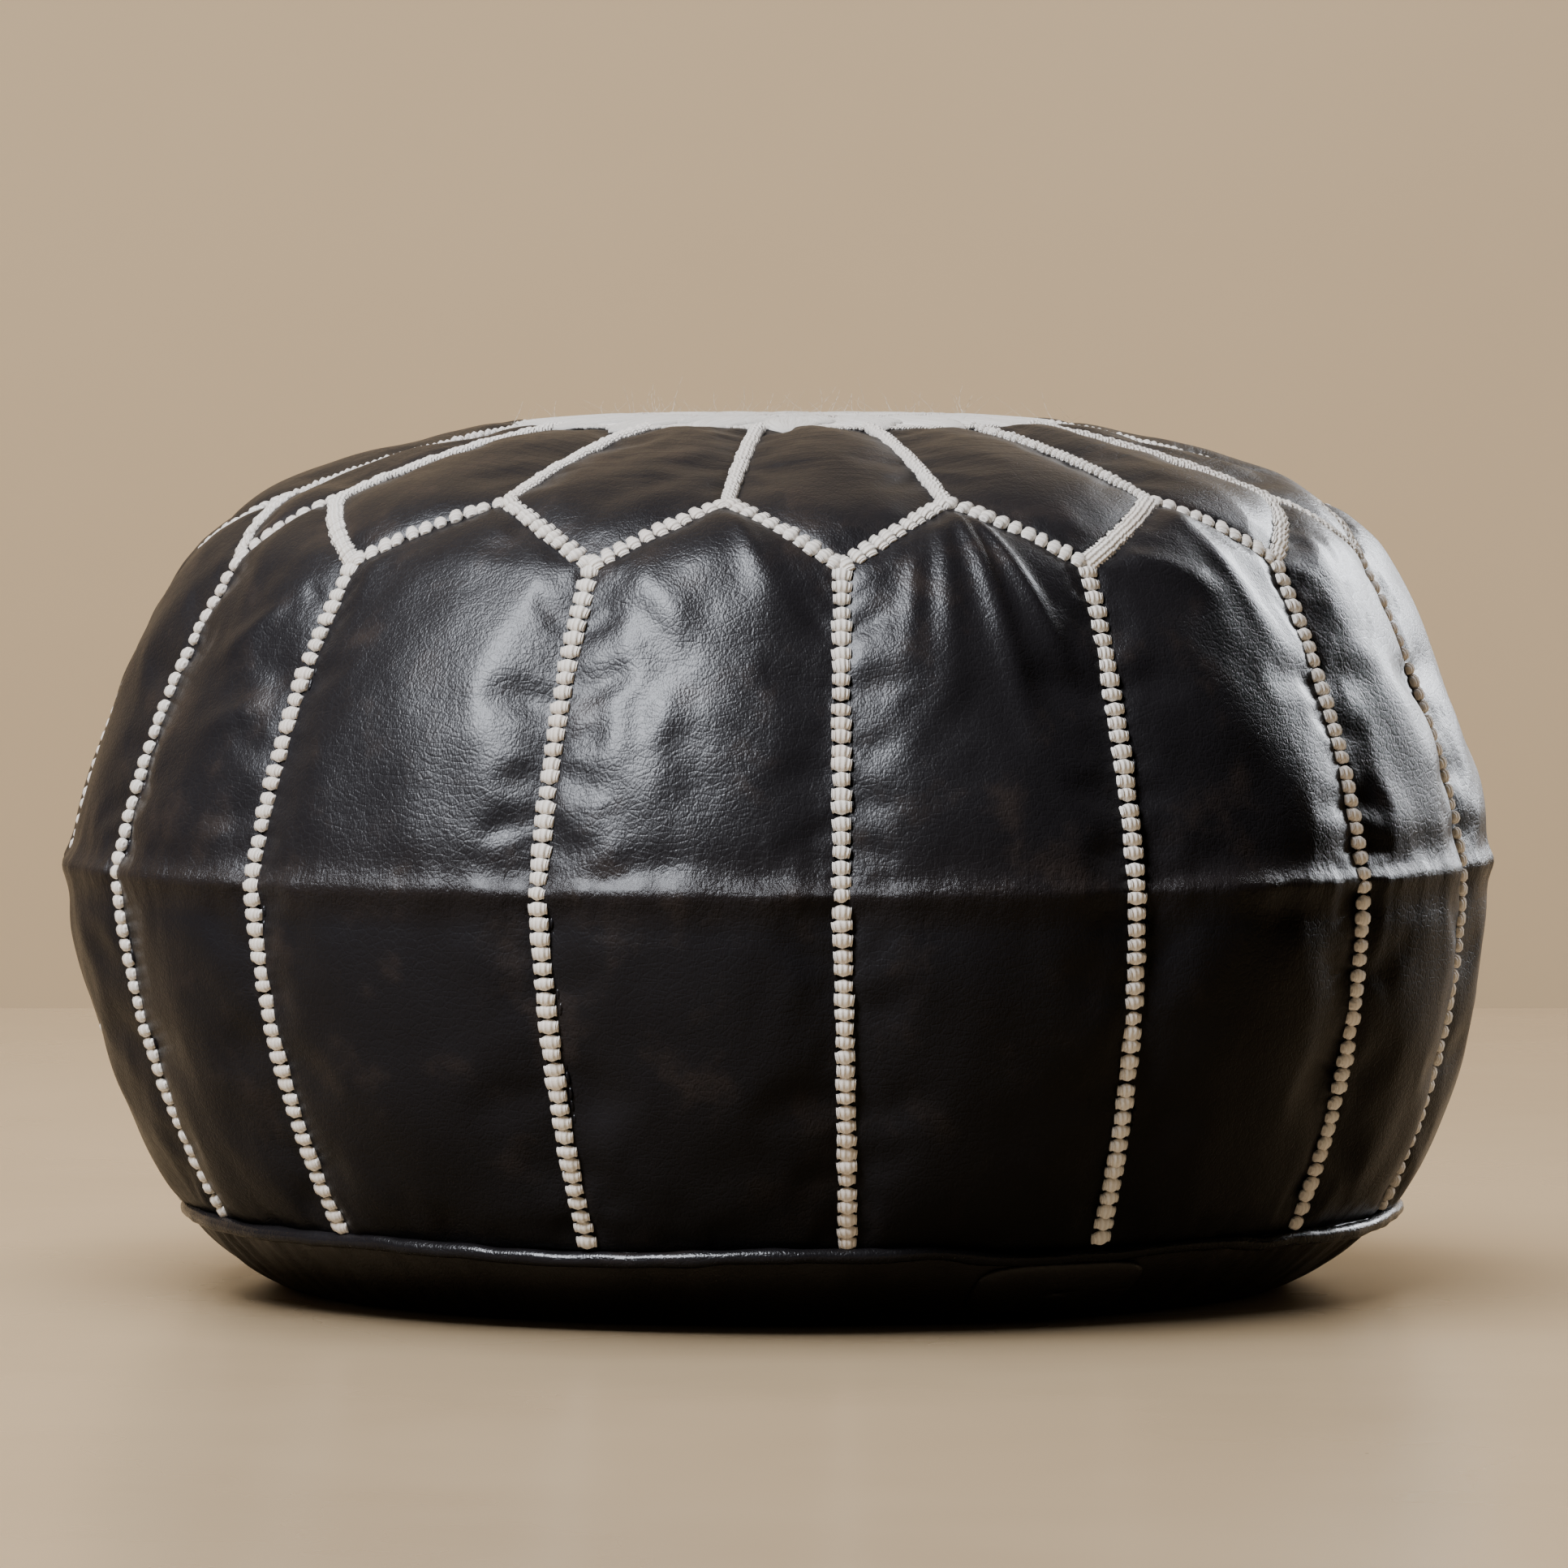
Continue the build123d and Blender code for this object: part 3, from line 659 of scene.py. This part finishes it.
LEAF_RINGS = (  # inner and outer radius, half angle, height, leaves in the ring and its first bearing
    (0.060, 0.112, 7.6, 0.0014, 20, 0),
    (0.056, 0.092, 6.4, 0.0012, 20, 9),
    (0.026, 0.058, 13, 0.0012, 12, 0),
    (0.004, 0.028, 21, 0.0011, 8, 10),
)
leaves = []
for ring, (inner, outer, half_angle, height, count, offset) in enumerate(LEAF_RINGS):
    for i in range(count):
        reach = random.uniform(-0.004, 0.005) if ring == 0 else random.uniform(-0.001, 0.001)
        bearing = offset + 360 * (i + random.uniform(-0.06, 0.06)) / count
        shape = leaf_on_cover(bearing, inner, outer + reach, half_angle, height)
        leaf = sheet_of(f"leaf_{ring}_{i:02d}", shape)
        wall = leaf.modifiers.new("Thickness", "SOLIDIFY")
        wall.thickness, wall.offset = LEAF_THICKNESS, -1
        select_only(leaf)
        bpy.ops.object.modifier_apply(modifier="Thickness")
        leaves.append(leaf)
around = np.linspace(0, 360, 121)
ground_reach = np.array([0.100, 0.099, 0.09, 0.075, 0.06, 0.045, 0.03, 0.015, MIDDLE_HOLE])[:, None]
ground_lift = 0.0002 + 0.0002 * np.cos(np.radians(around * 30)) + 0 * ground_reach
ground_lift[0] = -DISC_SINK
ground_shape = on_cover(around + 0 * ground_reach, way[-1] - ground_reach + 0 * around, ground_lift)
ground = sheet_of("medallion_ground", ground_shape)
select_only(ground)
for leaf in leaves:
    leaf.select_set(True)
bpy.ops.object.join()
weld()
bpy.ops.object.shade_smooth()
ground.name = ground.data.name = "medallion_embroidery_satin"
ground.data.materials.append(white_satin)
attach(ground, "pouf")
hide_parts("medallion_embroidery")


def ring_seam(radius, sink):
    """A closed seam round the top at that distance from the middle."""
    u = way[-1] - radius
    return seam_line((0, u), (359.0, u), sink)


ring_rows = [
    (ring_seam(radius, sink), 0.0024, 0, 0, (size, 1, size), 30)
    for radius, sink, size in ((0.1045, 0.0008, 0.8), (0.0595, 0.0002, 0.7), (0.0295, 0.0002, 0.65))
]
RING_HALF = Vector((0.0030, 0.0016, 0.0012))
ring_bead = thread_lump("ring_bead", RING_HALF, boxy=0, segments=8, rings=6)
sewn_in_white("medallion_ring_stitches", ring_bead, ring_rows, "medallion_ring_stitching")


# Stray fibres of the white thread. They have worked loose from the embroidery and stand up off the
# medallion, each one thin, bent and tapered towards its end.
FIBRES, FIBRE_RADIUS, FIBRE_AREA = 150, 0.00005, 0.112
fibre_pieces = []
for i in range(FIBRES):
    bearing, radius = random.uniform(0, 360), FIBRE_AREA * math.sqrt(random.uniform(0.05, 1))
    root = Vector(on_cover(bearing, way[-1] - radius, 0.002))
    lean_way = Vector((random.uniform(-1, 1), random.uniform(-1, 1), random.uniform(0.1, 1.0))).normalized()
    length = random.uniform(0.003, 0.014)
    bend = Vector((random.uniform(-1, 1), random.uniform(-1, 1), random.uniform(-0.3, 0.5))) * length * 0.5
    select_none()
    bpy.ops.mesh.primitive_cylinder_add(vertices=3, radius=FIBRE_RADIUS, depth=1, end_fill_type="TRIFAN")
    fibre = bpy.context.object
    bpy.ops.object.mode_set(mode="EDIT")
    for height in (-0.25, 0, 0.25):
        bpy.ops.mesh.select_all(action="SELECT")
        bpy.ops.mesh.bisect(plane_co=(0, 0, height), plane_no=(0, 0, 1))
    bpy.ops.object.mode_set(mode="OBJECT")
    for vertex in fibre.data.vertices:
        t = vertex.co.z + 0.5
        centre = root + lean_way * length * t + bend * t * t
        vertex.co = centre + Vector((vertex.co.x, vertex.co.y, 0)) * (1 - 0.6 * t)
    fibre_pieces.append(fibre)
select_only(fibre_pieces[0])
for fibre in fibre_pieces:
    fibre.select_set(True)
bpy.ops.object.join()
fibres = bpy.context.object
fibres.name = fibres.data.name = "stray_fibres"
fibres.matrix_world = Matrix.Identity(4)
fibres.data.materials.append(white_thread)
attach(fibres, "pouf")


# The piping: a cord sewn into a strip of the same leather between the sides and the base. It waves a
# little, and towards the front right the weight of the stuffing rolls it under.
ROLL_BEARING, ROLL_WIDTH, ROLL_IN, ROLL_DOWN, KINK = 28, 13, 0.0030, 0.0020, 0.0016


def piping_shift(bearing):
    """How far the piping strays from its ring: outwards and upwards, in metres."""
    b = np.radians(bearing)
    from_front = (bearing + 180) % 360 - 180
    rolled = np.exp(-np.abs((from_front - ROLL_BEARING) / ROLL_WIDTH) ** 3)
    kink = np.exp(-(((from_front - 13) / 3.2) ** 2)) - np.exp(-(((from_front - 49) / 3.0) ** 2))
    out = 0.0010 * np.sin(5 * b + 1) + 0.0007 * np.sin(11 * b + 2) - ROLL_IN * rolled
    up = 0.0010 * np.sin(4 * b) + 0.0008 * np.sin(9 * b + 1.5) - ROLL_DOWN * rolled + KINK * kink
    return out, up


PIPING_RADIUS, CORD_RADIUS, PIPING_RING, PIPING_HEIGHT = 0.0031, 0.0019, 0.2366, 0.029


def ring_tube(name, radius, ripple):
    """A tube that follows the piping's wavy ring, with small puckers in its skin."""
    select_none()
    bpy.ops.mesh.primitive_torus_add(
        major_segments=300, minor_segments=12, major_radius=PIPING_RING, minor_radius=radius,
        location=(0, 0, PIPING_HEIGHT),
    )
    bpy.ops.object.transform_apply(location=True)
    tube = bpy.context.object
    tube.name = tube.data.name = name
    points = np.empty(len(tube.data.vertices) * 3)
    tube.data.vertices.foreach_get("co", points)
    points = points.reshape(-1, 3)
    bearing = np.degrees(np.arctan2(points[:, 0], -points[:, 1]))
    out, up = piping_shift(bearing)
    r = np.hypot(points[:, 0], points[:, 1])
    way_out = points[:, :2] / r[:, None]
    rumple = ripple * wobble(points, 0.006, 41)
    section = np.stack([r - PIPING_RING, points[:, 2] - PIPING_HEIGHT], 1)
    section = section * (1 + rumple / radius)[:, None]
    r_new = PIPING_RING + section[:, 0] + out
    points[:, :2] = way_out * r_new[:, None]
    points[:, 2] = PIPING_HEIGHT + section[:, 1] + up
    points[:, 0] += np.interp(points[:, 2], LEAN_HEIGHTS, LEAN)
    tube.data.vertices.foreach_set("co", points.ravel())
    tube.data.update()
    return tube


piping_leather = glazed_leather(
    "piping_leather", dark=(0.0016, 0.0014, 0.0015, 1), warm=(0.005, 0.0036, 0.003, 1),
    low_gloss=0.20, high_gloss=0.36, coat=0.03, shine=0.10,
)
piping = ring_tube("piping", PIPING_RADIUS, ripple=0.0006)
finish_sheet(piping, 0.0009)
piping.data.materials.append(piping_leather)
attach(piping, "pouf")
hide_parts("piping_cover")
# The cord's darker shade colour is painted shade for the grooves between its plies.
cord_finish = thread_finish(
    "piping_cord_cotton",
    light=(0.7, 0.64, 0.52, 1), painted_shade=(0.42, 0.36, 0.27, 1), pink=(0.62, 0.55, 0.45, 1),
)
inner_cord = ring_tube("piping_cord_twisted", CORD_RADIUS, ripple=0.0002)
inner_cord.data.materials.append(cord_finish)
bpy.ops.object.shade_smooth()
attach(inner_cord, "pouf")
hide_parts("piping_cord")
leather_trims = [piping, lip, disc]


# The base: two halves of leather gathered into small pleats under the piping. They are flat where they
# stand, and rise into a shallow pocket round the slit of the zip.
FOOT, BASE_TURN = (0.196, 0.0), (0.2185, 0.013)
base_arc = arc(FOOT, BASE_TURN, PIPING)
POCKET_HALF, POCKET_SLOPE, POCKET_DEPTH = (0.158, 0.022), 0.024, 0.0064
SLIT_HALF = (0.148, 0.0066)
BASE_RIM, MIDDLE_GAP = 0.2356, 0.0002
FLAT_SHARE, SLOPE_STARTS, SLOPE_WAY = 0.81, 0.199, 0.03
PLEAT, SIDE_PLEAT, SLACK = 0.0007, 0.0011, 0.0015


def base_height(x, y, r):
    """How high the base is over the floor at those places."""
    inside = [half + POCKET_SLOPE - np.abs(place) for half, place in zip(POCKET_HALF, (x, y))]
    pocket = POCKET_DEPTH * np.clip(np.minimum(*inside) / POCKET_SLOPE, 0, 1)
    return np.where(r > FOOT[0], np.interp(r, base_arc[:, 0], base_arc[:, 1]), pocket)


def base_half(side):
    """Half of the base, as rows from the slit out to the piping. Side -1 is the front."""
    theta = np.linspace(0, math.pi, 181)
    across, away = np.cos(theta), np.sin(theta)
    inner = np.stack([SLIT_HALF[0] * across, np.minimum(SLIT_HALF[1], MIDDLE_GAP + 0.06 * away)], 1)
    flat_rows, slope_rows = spread(26, 0.2)[:-1] * FLAT_SHARE, np.linspace(FLAT_SHARE, 1.0, 13)
    reach = np.concatenate([flat_rows, slope_rows])[:, None]
    x = inner[:, 0] * (1 - reach) + BASE_RIM * across * reach
    y = inner[:, 1] * (1 - reach) + np.maximum(BASE_RIM * away, MIDDLE_GAP) * reach
    r = np.hypot(x, y)
    z = base_height(x, y, r)
    slope_part = np.clip((r - SLOPE_STARTS) / SLOPE_WAY, 0, 1)
    bearing = np.arctan2(x, side * y)
    rib = np.stack([np.cos(bearing) * 0.2, np.sin(bearing) * 0.2, r * 0.12], -1)
    sideways = np.abs(x) / np.maximum(r, 1e-6)
    pleat = (PLEAT + SIDE_PLEAT * sideways) * slope_part * wobble(rib, 0.0052, 60 + side)
    slack = SLACK * slope_part * wobble(rib, 0.03, 70 + side)
    normal_r, normal_z = 0.6, -0.8
    grow = (pleat + slack) / np.maximum(r, 1e-6) * normal_r
    x, y, z = x * (1 + grow), y * (1 + grow), np.maximum(z + (pleat + slack) * normal_z, z * 0.4)
    shift = np.interp(z, LEAN_HEIGHTS, LEAN) * np.clip((r - 0.17) / 0.03, 0, 1)
    points = np.stack([x + shift, side * y, z], -1)
    return points if side < 0 else points[:, ::-1]


base_leather = glazed_leather(
    "base_leather", dark=(0.0085, 0.0072, 0.0062, 1), warm=(0.0160, 0.0118, 0.0092, 1),
    low_gloss=0.32, high_gloss=0.52, coat=0.02, shine=0.24,
)
for name, side in (("front", -1), ("back", 1)):
    half = sheet_of(f"base_{name}_leather", base_half(side))
    select_only(half)
    bpy.ops.object.mode_set(mode="EDIT")
    bpy.ops.mesh.select_all(action="SELECT")
    bpy.ops.mesh.flip_normals()
    bpy.ops.object.mode_set(mode="OBJECT")
    finish_sheet(half, LEATHER)
    half.data.materials.append(base_leather)
    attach(half, "pouf")
    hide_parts(f"base_{name}_half")
    leather_trims.append(half)


# Inside the leather: a plain cotton bag, and the wadding it holds. They fill the cover to just behind
# the panels, and dip in the middle of the base to clear the zip.
FILL_RINGS, FILL_BEARINGS, BASE_SHARE, ZIP_CLEARANCE, DIP_SLOPE = 34, 96, 0.72, 0.0135, 0.03


def filling(name, gap, lumps, seed):
    """A closed rounded body that keeps that far behind the leather."""
    select_none()
    bpy.ops.mesh.primitive_uv_sphere_add(segments=FILL_BEARINGS, ring_count=FILL_RINGS, radius=1)
    body = bpy.context.object
    body.name = body.data.name = name
    points = np.empty(len(body.data.vertices) * 3)
    body.data.vertices.foreach_get("co", points)
    points = points.reshape(-1, 3)
    bearing = np.degrees(np.arctan2(points[:, 0], -points[:, 1]))
    polar = np.arccos(np.clip(points[:, 2], -1, 1)) / math.pi
    upper = polar < BASE_SHARE
    u = way[-1] * (1 - polar / BASE_SHARE)
    shell = on_cover(bearing, u, -gap + 0 * u)
    inward = np.clip((1 - polar) / (1 - BASE_SHARE), 0, 1)
    rim = PIPING[0] - gap
    r = rim * inward
    x, y = r * np.sin(np.radians(bearing)), -r * np.cos(np.radians(bearing))
    radii, heights = [0, FOOT[0], BASE_TURN[0], rim + 0.001], [0, 0, BASE_TURN[1], PIPING[1] - 0.005]
    rest_height = np.interp(r, radii, heights) + gap
    over_zip = [(half + DIP_SLOPE - np.abs(place)) / DIP_SLOPE for half, place in zip(POCKET_HALF, (x, y))]
    dip = ZIP_CLEARANCE * np.clip(np.minimum(*over_zip), 0, 1)
    under = np.stack([x, y, np.maximum(rest_height, dip)], -1)
    made = np.where(upper[:, None], shell, under)
    made = made * (1 - lumps * np.abs(wobble(made, 0.05, seed))[:, None] * np.array([1, 1, 0.2]))
    body.data.vertices.foreach_set("co", made.ravel())
    body.data.update()
    bpy.ops.object.shade_smooth()
    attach(body, "pouf")
    return body


def cotton_finish(name, light, dark, weave, fluff):
    cotton = Finish(name, Sheen_Weight=0.2, Specular_IOR_Level=0.2)
    at = cotton.place()
    fibres = cotton.noise(at, weave, 4, 0.7)
    clumps = cotton.noise(at, 45, 3)
    cotton.bumpy(fibres * 0.5 + clumps * fluff, 0.0012, 0.8)
    colour = cotton.mix(fibres.between(0.3, 0.7), dark, light)
    return cotton.give(Base_Color=colour, Roughness=0.8 + clumps * 0.15)


calico = cotton_finish("calico", (0.80, 0.75, 0.64, 1), (0.62, 0.56, 0.45, 1), weave=900, fluff=0.6)
wadding = cotton_finish("wadding", (0.86, 0.84, 0.79, 1), (0.70, 0.67, 0.60, 1), weave=260, fluff=2.0)
for name, gap, lumps, finish, slot, node in (
    ("cotton_bag", 0.0072, 0.002, calico, "cotton", "insert_cover"),
    ("cotton_wadding", 0.0110, 0.004, wadding, "wadding", "stuffing"),
):
    body = filling(name, gap, lumps, 80 + gap * 1000)
    body.data.materials.append(finish)
    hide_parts(node)


# The zip across the base, in aged brass with woven black tapes, sewn in with waxed black thread. Its
# solid parts keep their own shapes and get their finishes here, with the other threads of the base.
def brass_finish():
    brass = Finish("aged_brass", Specular_IOR_Level=0.5)
    at = brass.place()
    tarnish, scratch = brass.noise(at, 160, 4), brass.noise(brass.stretched(at, (1, 9, 9)), 500, 3)
    brass.bumpy(scratch, 0.0001, 0.5)
    return brass.give(
        Base_Color=brass.mix(tarnish.between(0.45, 0.7), (0.62, 0.43, 0.16, 1), (0.20, 0.13, 0.055, 1)),
        Metallic=1 - tarnish.between(0.6, 0.75) * 0.5, Roughness=0.25 + tarnish * 0.35,
    )


def woven_finish(name, light, dark, pitch):
    woven = Finish(name, Sheen_Weight=0.3, Specular_IOR_Level=0.25)
    at = woven.place()
    row_inputs = {"Vector": at, "Scale": pitch, "Distortion": 1.0}
    rows = woven.node("ShaderNodeTexWave", {"bands_direction": "X"}, row_inputs)
    ribs = woven.node("ShaderNodeTexWave", {"bands_direction": "Y"}, {"Vector": at, "Scale": pitch * 1.6})
    weave = rows * 0.6 + ribs * 0.4
    woven.bumpy(weave, 0.0003, 0.8)
    return woven.give(Base_Color=woven.mix(weave, dark, light), Roughness=0.75 + rows * 0.1)


brass = brass_finish()
tape_weave = woven_finish("zip_tape_weave", (0.028, 0.026, 0.026, 1), (0.008, 0.008, 0.008, 1), 420)
black_thread = woven_finish("black_waxed_thread", (0.03, 0.027, 0.025, 1), (0.006, 0.006, 0.006, 1), 700)
tan_thread = woven_finish("tan_waxed_thread", (0.075, 0.027, 0.010, 1), (0.02, 0.008, 0.004, 1), 700)
slot_finish = {
    "zip_brass": brass, "zip_tape": tape_weave, "black_thread": black_thread, "tan_thread": tan_thread,
    "patch_leather": base_leather, "white_thread": white_thread, "black_leather": black_leather,
    "base_leather": base_leather,
}
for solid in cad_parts.values():
    for holder in solid.material_slots:
        finish = slot_finish.get(holder.material.name)
        if finish:
            holder.link = "OBJECT"
            holder.material = finish


# The patch near the front right, in the base's own leather, with a fine brown thread that is half worn
# away, and the waxed black stitches where the two halves of the base meet at the sides.
slope_way = np.concatenate([[0], np.cumsum(np.hypot(*np.diff(base_arc, axis=0).T))])


def on_base(bearing, up_slope, lift):
    """A point of the base's slope, and the frame there: along the rim, up the slope and out of it."""
    r, z = (float(np.interp(up_slope, slope_way, base_arc[:, axis])) for axis in (0, 1))
    next_r, next_z = (float(np.interp(up_slope + 0.001, slope_way, base_arc[:, axis])) for axis in (0, 1))
    turned = math.radians(bearing)
    out = Vector((math.sin(turned), -math.cos(turned), 0))
    along = Vector((math.cos(turned), math.sin(turned), 0))
    upward = (out * (next_r - r) + Vector((0, 0, next_z - z))).normalized()
    facing = along.cross(upward).normalized()
    lean = Vector((float(np.interp(z, LEAN_HEIGHTS, LEAN)), 0, 0))
    return out * r + Vector((0, 0, z)) + lean + facing * lift, along, upward, facing


PATCH_BEARING, PATCH_RADIUS, PATCH_HALF, PATCH_LIFT = 27.0, 0.2205, (0.034, 0.015), 0.0019
PATCH_THICKNESS, STITCH_REACH = 0.001, 0.86
patch_way = float(np.interp(PATCH_RADIUS, base_arc[:, 0], slope_way))


def on_patch(turned, reach, lift):
    """A place on the patch, by its direction from the middle and its share of the way to the edge."""
    square = (abs(math.cos(turned)) ** 4 + abs(math.sin(turned)) ** 4) ** -0.25 * reach
    aside, up_slope = PATCH_HALF[0] * math.cos(turned) * square, PATCH_HALF[1] * math.sin(turned) * square
    return on_base(PATCH_BEARING + math.degrees(aside / PATCH_RADIUS), patch_way + up_slope, lift)


patch_rings = [
    (0.04, PATCH_LIFT), (0.45, PATCH_LIFT), (0.80, PATCH_LIFT), (0.92, PATCH_LIFT * 0.9), (1.0, 0.0002),
]
round_patch = np.linspace(0, 2 * math.pi, 73)
patch_points = [[on_patch(turned, reach, lift)[0] for turned in round_patch] for reach, lift in patch_rings]
patch = sheet_of("patch", np.array(patch_points))
finish_sheet(patch, PATCH_THICKNESS)
patch.data.materials.append(base_leather)
leather_trims.append(patch)
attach(patch, "pouf")
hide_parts("base_patch")

PATCH_STITCHES, WORN_AWAY = 72, 0.35
patch_places = []
for stitch in range(PATCH_STITCHES):
    if random.random() < WORN_AWAY:
        continue
    turned = 2 * math.pi * stitch / PATCH_STITCHES
    spot, along, upward, facing = on_patch(turned, STITCH_REACH, PATCH_LIFT)
    ahead = (on_patch(turned + 0.02, STITCH_REACH, PATCH_LIFT)[0] - spot).normalized()
    axes = Matrix((ahead.cross(facing), ahead, facing)).transposed().to_4x4()
    patch_places.append(Matrix.Translation(spot) @ axes)
SEAM_STITCHES, SEAM_START, SEAM_PITCH, SEAM_LIFT = 5, 0.016, 0.0045, 0.0008
seam_places = []
for side in (-90, 90):
    for stitch in range(SEAM_STITCHES):
        spot, along, upward, facing = on_base(side, SEAM_START + SEAM_PITCH * stitch, SEAM_LIFT)
        seam_places.append(Matrix.Translation(spot) @ Matrix((along, upward, facing)).transposed().to_4x4())


def sewn_to_base(name, half, places, finish, node):
    """A piece of small stitches on the base, which stands for that node."""
    stitches = copies(name, thread_lump(name, Vector(half), boxy=0, segments=6, rings=5), places)
    stitches.data.materials.append(finish)
    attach(stitches, "pouf")
    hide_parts(node)


FINE_HALF, WAXED_HALF = (0.00035, 0.0009, 0.0003), (0.0024, 0.0011, 0.0009)
sewn_to_base("patch_stitches", FINE_HALF, patch_places, tan_thread, "base_patch_stitching")
sewn_to_base(
    "base_seam_stitches", WAXED_HALF, seam_places, black_thread, "base_seam_stitching",
)


# The room: a pale floor, a plain wall and soft daylight from the left and from behind on the right. The
# floor and the wall show on their near side only, so that the pouf can be looked at from all round.
select_none()
ROOM_SIZE, WALL_BEHIND, FLOOR_GAP = 14, 1.62, 0.0004
bpy.ops.mesh.primitive_plane_add(size=ROOM_SIZE, location=(0, -2, -FLOOR_GAP))
floor = bpy.context.object
floor.name = "floor"
bpy.ops.mesh.primitive_plane_add(size=ROOM_SIZE, location=(0, WALL_BEHIND, 3), rotation=(math.pi / 2, 0, 0))
wall_behind = bpy.context.object
wall_behind.name = "wall"


def plaster(name, light, dark, rough, size):
    surface = Finish(name, Specular_IOR_Level=0.35)
    at = surface.place()
    cloud = surface.noise(at, size, 5, 0.6)
    fine = surface.noise(at, size * 22, 4)
    surface.bumpy(fine, 0.0004, 0.3)
    from_behind = surface.node("ShaderNodeNewGeometry", {}, {}, "Backfacing")
    clear = surface.node("ShaderNodeBsdfTransparent", {}, {})
    plain = Signal(surface, surface.shader.outputs[0])
    one_sided = surface.node("ShaderNodeMixShader", {}, {0: from_behind, 1: plain, 2: clear})
    surface.plug(surface.tree.nodes["Material Output"].inputs["Surface"], one_sided)
    colour = surface.mix(cloud.between(0.3, 0.7), dark, light)
    return surface.give(Base_Color=colour, Roughness=rough + cloud * 0.15)


polished = plaster("polished_floor", (0.62, 0.495, 0.345, 1), (0.55, 0.435, 0.30, 1), rough=0.2, size=1.3)
plastered = plaster("plastered_wall", (0.70, 0.575, 0.415, 1), (0.65, 0.53, 0.375, 1), rough=0.7, size=0.8)
floor.data.materials.append(polished)
wall_behind.data.materials.append(plastered)
collections = [bpy.data.collections.new(name) for name in ("shining_leather", "room", "all_but_room")]
shining_leather, room, all_but_room = collections
for piece in [panel["piece"] for panel in panels] + leather_trims:
    shining_leather.objects.link(piece)
for surface in (floor, wall_behind):
    room.objects.link(surface)
    all_but_room.objects.link(surface)
for member in all_but_room.collection_objects:
    member.light_linking.link_state = "EXCLUDE"


def soft_light(name, place, target, size, power, colour, only):
    """A soft lamp that lights only the members of one collection."""
    data = bpy.data.lights.new(name, "AREA")
    data.shape, data.size, data.size_y = "RECTANGLE", *size
    data.energy, data.color = power, colour
    lamp = bpy.data.objects.new(name, data)
    lamp.location = place
    lamp.rotation_euler = (Vector(target) - Vector(place)).to_track_quat("-Z", "Y").to_euler()
    bpy.context.collection.objects.link(lamp)
    lamp.light_linking.receiver_collection = only


LEFT_WINDOW = (-1.2, -1.4, 2.1), (0, 0, 0.2), (0.75, 1.3)
RIGHT_WINDOW = (1.45, 1.52, 1.0), (0.2, 0, 0.25), (0.4, 1.2)
soft_light("window_left", *LEFT_WINDOW, 125, (0.97, 0.97, 1.0), all_but_room)
soft_light("window_right", *RIGHT_WINDOW, 30, (0.95, 0.96, 1.0), all_but_room)
soft_light("window_left_glare", *LEFT_WINDOW, 1080, (0.88, 0.92, 1.0), shining_leather)
soft_light("window_right_glare", *RIGHT_WINDOW, 340, (0.9, 0.94, 1.0), shining_leather)
soft_light("ceiling", (-0.6, -0.4, 3.0), (-0.3, 0.3, 0), (3.0, 3.0), 180, (1.0, 0.95, 0.87), room)
world = bpy.data.worlds.new("room_light")
world.use_nodes = True
glow = world.node_tree.nodes["Background"].inputs
glow["Color"].default_value, glow["Strength"].default_value = (0.95, 0.86, 0.74, 1), 0.07
bpy.context.scene.world = world


# The camera. It stands low in front of the pouf and far back, with a long lens, and looks slightly
# down at it.
LOOKS_DOWN = 2.57
lens = bpy.data.cameras.new("camera")
lens.sensor_width, lens.lens = 36, 247
camera = bpy.data.objects.new("camera", lens)
camera.location = (0.0025, -4.2075, 0.383)
camera.rotation_euler = (math.radians(90 - LOOKS_DOWN), 0, 0)
bpy.context.collection.objects.link(camera)
bpy.context.scene.camera = camera
